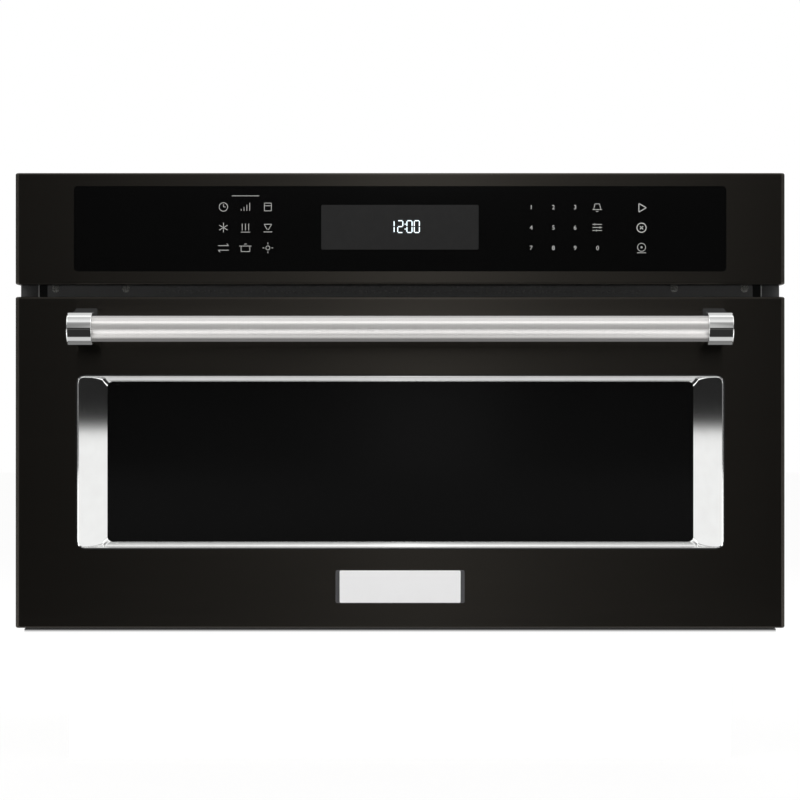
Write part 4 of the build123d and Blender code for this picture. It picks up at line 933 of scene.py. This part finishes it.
run = slope_end - slope_start
drop = slope_deep - slope_shallow
for across in (slope_start, 1.8, 2.6, 3.6, 5.0, 7.0, 10.0, 13.0, 16.0, 19.0, 22.0):
    deep = slope_shallow + (across - slope_start) / run * drop
    straight = mouth_round - math.sqrt(mouth_round**2 - max(mouth_round - across, 0.0) ** 2)
    corner = max(straight, hollow_at(across))
    bezel_rows.append((across, slope_top + slope_draft * across, deep, corner))
print("slopes", round(run, 1), "mm wide and", round(drop, 1), "mm deep")

# %% [markdown]
# The bands above and below the glass get steeper as they go in, and end at the glass.

# %% The bezel's bands, and the bezel
band_start = 16.9
band_top = 1.65
band_end = 5.7
band_last = 0.4
band_steps = 6
band_rise = band_end - band_top - band_last
for step in range(band_steps + 1):
    share = step / band_steps
    lean = math.radians(26 + 12 * share)
    deep = band_start + band_rise * share * math.tan(lean)
    across = slope_start + (deep - slope_shallow) / drop * run
    bezel_rows.append((across, band_top + band_rise * share, deep, hollow_at(across)))
bezel_rows.append((slope_end, band_end, slope_deep, hollow_most))

shell = bmesh.new()
stack(shell, inset(mouth_wide, mouth_high, bezel_low.y, bezel_middle, bezel_rows), 10, closed=False)
face_room(shell)
bezel = finish_piece(
    "window_bezel_pressed", shell, bright_trim, "door", ["window_bezel"], 50.0, solid=False
)
wall = bezel.modifiers.new("sheet", "SOLIDIFY")
wall.thickness = sheet_thick
wall.offset = -1.0
side_mirrors.objects.link(bezel)

# %% [markdown]
# A thin ring of black foam round the frame paints the shadow in the gap between the frame and the door, and
# shows as a fine dark line.

# %% Black ring round the bezel, a painted shadow
# Painted shadow: a black ring in the joint between the frame and the door
shadow_ring = bmesh.new()
shadow_ring_line = [(-0.2, 0.3), (0.1, -0.1), (0.95, -0.16), (1.15, 0.1)]
shadow_ring_rows = [(-out, -out, deep, mouth_round + out) for out, deep in shadow_ring_line]
stack(shadow_ring, inset(mouth_wide, mouth_high, door_face, bezel_middle, shadow_ring_rows), 10, closed=False)
face_room(shadow_ring)
finish_piece("bezel_shadow_ring", shadow_ring, foam_black, "door", solid=False)

# %% [markdown]
# ## The handle's end brackets
#
# Each bracket is one polished casting: a turned cap that closes the tube, and a post that carries
# it back to the door. The cap is drawn as half of its section and spun round the tube's axis. Its
# outer end is a shallow dome and its inner end rolls in to meet the tube.

# %% The cap's section
bar_low, bar_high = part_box("handle_bar")
bar_axis = Vector((0.0, (bar_low.y + bar_high.y) / 2, (bar_low.z + bar_high.z) / 2))
cap_radius = 15.5 * MM
cap_long = 24.8 * MM
cap_start = 0.1 * MM
rim_round = 0.9 * MM
edge_round = 1.2 * MM
dome_rise = 0.5 * MM
dome_edge = cap_radius - edge_round
dome_radius = (dome_edge**2 + dome_rise**2) / (2 * dome_rise)
shoulder = cap_long - dome_rise - edge_round

# Each point gives how far it is out from the tube's end, and its radius
section = [(cap_start, 12.3 * MM), (cap_start, 13.6 * MM)]
for turn in range(0, 91, 18):
    a = math.radians(turn)
    section.append((rim_round * (1 - math.cos(a)) + cap_start, cap_radius - rim_round * (1 - math.sin(a))))
for turn in range(0, 90, 15):
    a = math.radians(turn)
    section.append((shoulder + edge_round * math.sin(a), cap_radius - edge_round * (1 - math.cos(a))))
for share in (1.0, 0.75, 0.5, 0.25, 0.0):
    radius = dome_edge * share
    section.append((cap_long - dome_radius + math.sqrt(dome_radius**2 - radius**2), radius))
print(len(section), "points in the section")

# %% [markdown]
# The post goes from a block inside the cap back to a foot that stands a little higher.

# %% End brackets
foot_lift = 1.2 * MM
for side, hand in ((-1, "left"), (1, "right")):
    bracket = bmesh.new()
    points = [(side * (bar_high.x + out), bar_axis.y, bar_axis.z + radius) for out, radius in section]
    verts = [bracket.verts.new(point) for point in points]
    edges = [bracket.edges.new(pair) for pair in zip(verts, verts[1:])]
    bmesh.ops.spin(
        bracket,
        geom=verts + edges,
        cent=bar_axis,
        axis=(1, 0, 0),
        angle=2 * math.pi,
        steps=72,
        use_merge=True,
    )
    bmesh.ops.remove_doubles(bracket, verts=bracket.verts, dist=weld)
    cap(bracket, [edge for edge in bracket.edges if len(edge.link_faces) == 1])
    bmesh.ops.recalc_face_normals(bracket, faces=bracket.faces)

    post_low, post_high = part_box(f"handle_post_{hand}")
    foot_low = post_low.z + foot_lift
    foot_tall = (post_high.z - foot_low) / MM
    foot_middle = (foot_low + post_high.z) / 2
    # Width, height, corner, depth, height of the middle, and how far out from the tube's end
    post_rows = [
        (22.0, 29.0, 3.0, bar_axis.y, bar_axis.z, 11.3),
        (22.4, 30.6, 2.4, bar_axis.y + 14 * MM, bar_axis.z + 0.6 * MM, 11.4),
        (21.6, 33.2, 1.6, door_face - 12 * MM, bar_axis.z + 2.0 * MM, 11.0),
        (21.1, foot_tall, 1.1, door_face, foot_middle, 10.55),
    ]
    rows = [
        (wide * MM, tall * MM, corner * MM, y, (side * (bar_high.x + out * MM), z))
        for wide, tall, corner, y, z, out in post_rows
    ]
    bmesh.ops.recalc_face_normals(bracket, faces=stack(bracket, rows, 5))
    name = f"handle_bracket_{hand}"
    post = [f"handle_post_{hand}"]
    finish_piece(name, bracket, bright_trim, "door", post, 40.0, solid=False)

# %% [markdown]
# ## The badge plate
#
# A small plate pinned to the door, left bare. Its long edges have a fine bevel that catches the
# light, and its ends slope down wide and dark.

# %% Badge plate
plate_low, plate_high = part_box("badge_plate")
plate_size = plate_high - plate_low
plate_middle = (0.0, (plate_low.z + plate_high.z) / 2)
base_rows = [(0.0, 0.0, plate_size.y / MM, 1.8), (0.0, 0.0, 1.0, 1.8)]
base_rows += [(0.3, 0.3, 0.8, 1.6), (3.9, 0.4, 0.3, 1.3)]
face_rows = [(3.9, 0.3, 0.8, 1.2), (3.9, 0.3, 0.25, 1.2), (4.2, 0.75, 0.0, 1.0)]
for name, rows, material, replaced in (
    ("badge_base", base_rows, badge_edge, ["badge_plate"]),
    ("badge_blank", face_rows, badge_satin, []),
):
    plate = bmesh.new()
    stack(plate, inset(plate_size.x, plate_size.z, plate_low.y, plate_middle, rows), 5)
    finish_piece(name, plate, material, "door", replaced, 20.0)

# %% [markdown]
# ## What shows on the control glass
#
# Pale legends are printed on the glass, so they are thin raised shapes on its front. Each key has a
# small plain sign drawn with strokes half a millimetre wide. The digits are set in Blender's own
# font and turned into a mesh. Behind a smoked window in the middle the clock glows with seven thin
# bars a digit.

# %% Strokes and rings on the glass
glass_low, glass_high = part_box("control_glass")
glass_front = glass_low.y
panel_z = (glass_low.z + glass_high.z) / 2
ink = 0.03 * MM
pen = 0.5


def on_glass(x, z, front=glass_front):
    """A place on the glass. X and Z are in mm from the panel's middle."""
    return Matrix.Translation((x * MM, front, panel_z + z * MM))


def bar_on(shape, x, z, wide, tall, turn=0.0, front=glass_front):
    """A thin bar standing on the glass, from its middle and size in mm and its turn in degrees."""
    verts = bmesh.ops.create_cube(shape, size=1.0)["verts"]
    size = Matrix.Diagonal((wide * MM, ink, tall * MM, 1.0))
    place = on_glass(x, z, front - ink / 2) @ Matrix.Rotation(math.radians(turn), 4, "Y") @ size
    bmesh.ops.transform(shape, matrix=place, verts=verts)


def ring_on(shape, x, z, radius, width=pen):
    """A thin ring standing on the glass, in mm."""
    verts = []
    for size in (radius - width, radius):
        verts += bmesh.ops.create_circle(shape, segments=32, radius=size * MM)["verts"]
    place = on_glass(x, z) @ Matrix.Rotation(math.pi / 2, 4, "X")
    bmesh.ops.transform(shape, matrix=place, verts=verts)
    edges = {edge for vert in verts for edge in vert.link_edges}
    flat = bmesh.ops.bridge_loops(shape, edges=list(edges))["faces"]
    raised = bmesh.ops.extrude_face_region(shape, geom=flat)["geom"]
    lifted = [item for item in raised if isinstance(item, bmesh.types.BMVert)]
    bmesh.ops.translate(shape, vec=(0, -ink, 0), verts=lifted)
    faces = {face for vert in verts + lifted for face in vert.link_faces}
    bmesh.ops.recalc_face_normals(shape, faces=list(faces))


print("the panel's middle is at", round(panel_z / MM, 1), "mm")

# %% [markdown]
# A key's sign says what the key does: a clock face for the time, rising bars for the power, a star of
# frost for thawing, a pot for steam, a triangle to start and a cross to stop. Each one is a short list
# of strokes: the middle, the size and the turn of a bar, or the middle and the radius of a ring.

# %% Key signs
key_signs = {
    "clock": [("ring", 0, 0, 4.4), (0, 1.4, pen, 2.8), (1.1, 0, 2.2, pen)],
    "power": [(-4.2, -2.9, pen, 1.8), (-1.4, -1.9, pen, 3.8), (1.4, -0.9, pen, 5.8), (4.2, 0.1, pen, 7.8)],
    "bag": [(-3.4, 0, pen, 7.6), (3.4, 0, pen, 7.6), (0, -3.8, 7.3, pen)]
    + [(0, 1.2, 6.8, pen), (0, 3.8, 7.3, pen)],
    "frost": [(0, 0, pen, 9.4), (0, 0, pen, 9.4, 60), (0, 0, pen, 9.4, -60)],
    "heat": [(-3.2, 0.6, pen, 6.6), (0, 0.6, pen, 6.6), (3.2, 0.6, pen, 6.6), (0, -4.4, 9.0, pen)],
    "melt": [(-2.1, 0.6, pen, 6.2, -30), (2.1, 0.6, pen, 6.2, 30)]
    + [(0, 3.3, 7.6, pen), (0, -4.2, 8.4, pen)],
    "swap": [(0, 2.2, 10.4, pen), (0, -2.2, 10.4, pen)]
    + [(4.2, 3.2, pen, 2.8, -45), (-4.2, -3.2, pen, 2.8, -45)],
    "pot": [(-4.3, -1.2, pen, 5.2), (4.3, -1.2, pen, 5.2), (0, -3.6, 9.0, pen)]
    + [(0, 1.8, 12.0, pen), (0, 3.8, 2.6, pen)],
    "sun": [("ring", 0, 0, 2.2), (0, 4.3, pen, 1.8), (0, -4.3, pen, 1.8)]
    + [(4.3, 0, 1.8, pen), (-4.3, 0, 1.8, pen)],
    "bell": [(-2.9, 0.2, pen, 5.4, 12), (2.9, 0.2, pen, 5.4, -12), (0, 3.0, 4.9, pen)]
    + [(0, -2.6, 9.4, pen), (0, -4.3, 2.4, pen)],
    "tools": [(0, 3.0, 9.4, pen), (0, 0, 9.4, pen), (0, -3.0, 9.4, pen)]
    + [(-2.4, 3.0, pen, 2.2), (2.6, 0, pen, 2.2), (-0.8, -3.0, pen, 2.2)],
    "start": [(-2.6, 0, 0.8, 8.2), (1.0, 2.1, 0.8, 8.2, -60), (1.0, -2.1, 0.8, 8.2, 60)],
    "stop": [("ring", 0, 0, 4.9, 0.8), (0, 0, 0.8, 4.4, 45), (0, 0, 0.8, 4.4, -45)],
    "table": [("ring", 0, 0.6, 4.2), ("ring", 0, 0.6, 1.0), (0, -4.8, 9.0, pen)],
}
key_places = [(-173.4, 21.4, "clock"), (-151.8, 21.4, "power"), (-129.8, 21.4, "bag")]
key_places += [(-173.4, 1.1, "frost"), (-151.8, 1.1, "heat"), (-129.8, 1.1, "melt")]
key_places += [(-173.4, -18.8, "swap"), (-151.8, -18.8, "pot"), (-129.8, -18.8, "sun")]
key_places += [(193.5, 21.4, "bell"), (193.5, 1.3, "tools")]
key_places += [(237.0, 20.6, "start"), (237.0, 1.0, "stop"), (237.0, -18.8, "table")]

signs = bmesh.new()
bar_on(signs, -151.8, 32.3, 26.8, pen)
for x, z, kind in key_places:
    for stroke in key_signs[kind]:
        if stroke[0] == "ring":
            ring_on(signs, x + stroke[1], z + stroke[2], *stroke[3:])
        else:
            bar_on(signs, x + stroke[0], z + stroke[1], *stroke[2:])
finish_piece("panel_signs", signs, legend_ink, "root", solid=False)

# %% Digits
digit_high = 4.3
# A digit of Blender's font is this much of the font's size
font_share = 0.72
digit_columns = (128.7, 150.5, 171.8)
digit_rows = (21.2, 1.2, -18.8)
spots = [(digit_columns[i % 3], digit_rows[i // 3], str(i + 1)) for i in range(9)]
spots.append((193.8, -18.8, "0"))
digits = bmesh.new()
for x, z, text in spots:
    letter = bpy.data.curves.new("digit", "FONT")
    letter.body = text
    letter.size = digit_high / font_share * MM
    letter.extrude = ink / 2
    letter.resolution_u = 4
    holder = bpy.data.objects.new("digit", letter)
    mesh = bpy.data.meshes.new_from_object(holder)
    middle = [0.0, 0.0, 0.0]
    for axis in (0, 1):
        along = [vert.co[axis] for vert in mesh.vertices]
        middle[axis] = -(min(along) + max(along)) / 2
    place = on_glass(x, z, glass_front - ink / 2) @ Matrix.Rotation(math.pi / 2, 4, "X")
    mesh.transform(place @ Matrix.Translation(middle))
    digits.from_mesh(mesh)
    bpy.data.objects.remove(holder)
    bpy.data.curves.remove(letter)
    bpy.data.meshes.remove(mesh)
finish_piece("panel_digits", digits, legend_ink, "root", solid=False)

# %% [markdown]
# The display is a smoked window printed a shade lighter than the glass round it. The clock shows
# noon. Each digit has up to seven upright and level bars, lettered from the top one clockwise, with
# the middle one last.

# %% Display
display_x = -0.15
display_z = 1.5
display_wide = 154.4 * MM
display_tall = 43.8 * MM
display_thick = 0.02 * MM
display_round = 1.2
display_rows = [(0.0, 0.0, 0.0, display_round), (0.0, 0.0, -display_thick / MM, display_round)]
display_middle = (display_x * MM, panel_z + display_z * MM)
window = bmesh.new()
stack(window, inset(display_wide, display_tall, glass_front, display_middle, display_rows), 4)
finish_piece("display_window", window, smoked_window, "root")

# %% Clock
digit_wide = 5.0
bar_thick = 0.95
bar_gap = 0.06
colon_size = 1.1
half = 5.8
clock_z = 2.1
display_front = glass_front - display_thick
level = (digit_wide - bar_thick - bar_gap, bar_thick)
upright = (bar_thick, half - bar_thick - bar_gap)
bars = {
    "a": (0, half, *level),
    "b": (digit_wide / 2, half / 2, *upright),
    "c": (digit_wide / 2, -half / 2, *upright),
    "d": (0, -half, *level),
    "e": (-digit_wide / 2, -half / 2, *upright),
    "f": (-digit_wide / 2, half / 2, *upright),
    "g": (0, 0, *level),
}
clock = bmesh.new()
for lit, x in (("bc", -8.4), ("abged", 0.2), ("abcdef", 9.2), ("abcdef", 16.4)):
    for letter in lit:
        across, up, wide, tall = bars[letter]
        bar_on(clock, x + across, clock_z + up, wide, tall, front=display_front)
for up in (-2.4, 2.4):
    bar_on(clock, 5.0, clock_z + up, colon_size, colon_size, front=display_front)
finish_piece("clock_digits", clock, clock_glow, "root", solid=False)

# %% [markdown]
# ## Inside the gap over the door
#
# Warm air leaves through two rows of slots above the door. Behind them the duct ends in a bent
# flap that keeps grease off the fan, so the slots look dark. A strip of black foam seals the frame
# plate to the rail on each side.

# %% Duct flap
duct_low, duct_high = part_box("exhaust_duct")
flap_clear = 0.7 * MM
# From the duct's upper back edge, in mm
flap_bends = [(-0.6, -0.5), (-5.0, -5.0), (-11.0, -11.9)]
flap_left = duct_low.x + flap_clear
flap_right = duct_high.x - flap_clear
flap = bmesh.new()
spine = [
    flap.verts.new((flap_left, duct_high.y + back * MM, duct_high.z + down * MM)) for back, down in flap_bends
]
edges = [flap.edges.new(pair) for pair in zip(spine, spine[1:])]
moved = bmesh.ops.extrude_edge_only(flap, edges=edges)["geom"]
far = [item for item in moved if isinstance(item, bmesh.types.BMVert)]
bmesh.ops.translate(flap, vec=(flap_right - flap_left, 0, 0), verts=far)
bmesh.ops.subdivide_edges(flap, edges=flap.edges[:], cuts=1)
flap_piece = finish_piece("duct_flap", flap, powder_coat, "root", solid=False)
flap_piece.modifiers.new("sheet", "SOLIDIFY").thickness = sheet_thick

# %% Filter behind the slots
filter_clear = Vector((0.8, 0.0, 0.8)) * MM
filter_low = Vector((duct_low.x, duct_low.y - 0.45 * MM, duct_low.z)) + filter_clear
filter_high = Vector((duct_high.x, duct_low.y - 0.05 * MM, duct_high.z)) - filter_clear
sheet = box_in(bmesh.new(), filter_low, filter_high)
soften(sheet, 0.1 * MM)
finish_piece("duct_filter", sheet, filter_mesh, "root")

# %% Foam seals
frame_low, frame_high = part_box("front_frame")
foam_clear = 0.1 * MM
foam_short = 6 * MM
foam_round = 0.8
foam_inner = frame_high.x + foam_clear
foam_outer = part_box("side_rail_right")[0].x - foam_clear
foam_z = (frame_low.z + frame_high.z) / 2
foam_deep = (frame_high.y - frame_low.y) / MM + 0.2
foam_rows = [(0.0, 0.0, foam_deep, foam_round), (0.0, 0.0, 0.6, foam_round), (0.5, 0.5, 0.2, foam_round)]
foam_tall = frame_high.z - frame_low.z - foam_short
for side, hand in ((-1, "left"), (1, "right")):
    foam = bmesh.new()
    middle = (side * (foam_inner + foam_outer) / 2, foam_z)
    stack(foam, inset(foam_outer - foam_inner, foam_tall, frame_low.y, middle, foam_rows), 3)
    finish_piece(f"foam_seal_{hand}", foam, foam_black, "root")

# %% [markdown]
# Each side rail's inner edge, beside the foam, gets a thin near-white strip: a painted highlight
# that shows as a fine light line.

# %% Painted highlights on the side rails' edges
edge_short = 4 * MM
for side, hand in ((-1, "left"), (1, "right")):
    rail_low, rail_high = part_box(f"side_rail_{hand}")
    rail_inner = min(abs(rail_low.x), abs(rail_high.x))
    ends = sorted((side * (rail_inner - 0.05 * MM), side * (rail_inner + 0.85 * MM)))
    edge_low = (ends[0], rail_low.y - 0.25 * MM, frame_low.z + edge_short)
    edge_high = (ends[1], rail_low.y + 0.3 * MM, frame_high.z - edge_short)
    # Painted highlight: a near-white strip along the rail's inner edge
    edge_shape = box_in(bmesh.new(), edge_low, edge_high)
    soften(edge_shape, 0.15 * MM)
    finish_piece(f"rail_edge_{hand}", edge_shape, painted_edge_highlight, "root")

# %% [markdown]
# ## The door's springs
#
# A compression spring in each hinge channel is squeezed by the rod's washer as the door comes down.
# The CAD coil is rigid, so here a merged copy of its mesh stands for it. The share of its length
# that the rod's travel would leave is worked out, but the coil is not squeezed here.

# %% Merged copy of the springs
spring_low, spring_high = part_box("door_springs")
spring_long = spring_high.z - spring_low.z
rod_travel = 12.1 * MM
springs = bmesh.new()
springs.from_mesh(nodes["door_springs"].data)
spring_piece = finish_piece(
    "door_springs_wound", springs, zinc_plate, "door", ["door_springs"], 60.0, flat=False
)
kept = 1 - rod_travel / spring_long
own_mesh(spring_piece)
print("spring", round(spring_long / MM, 1), "mm long, squeezed by", round(rod_travel / MM, 1), "mm")
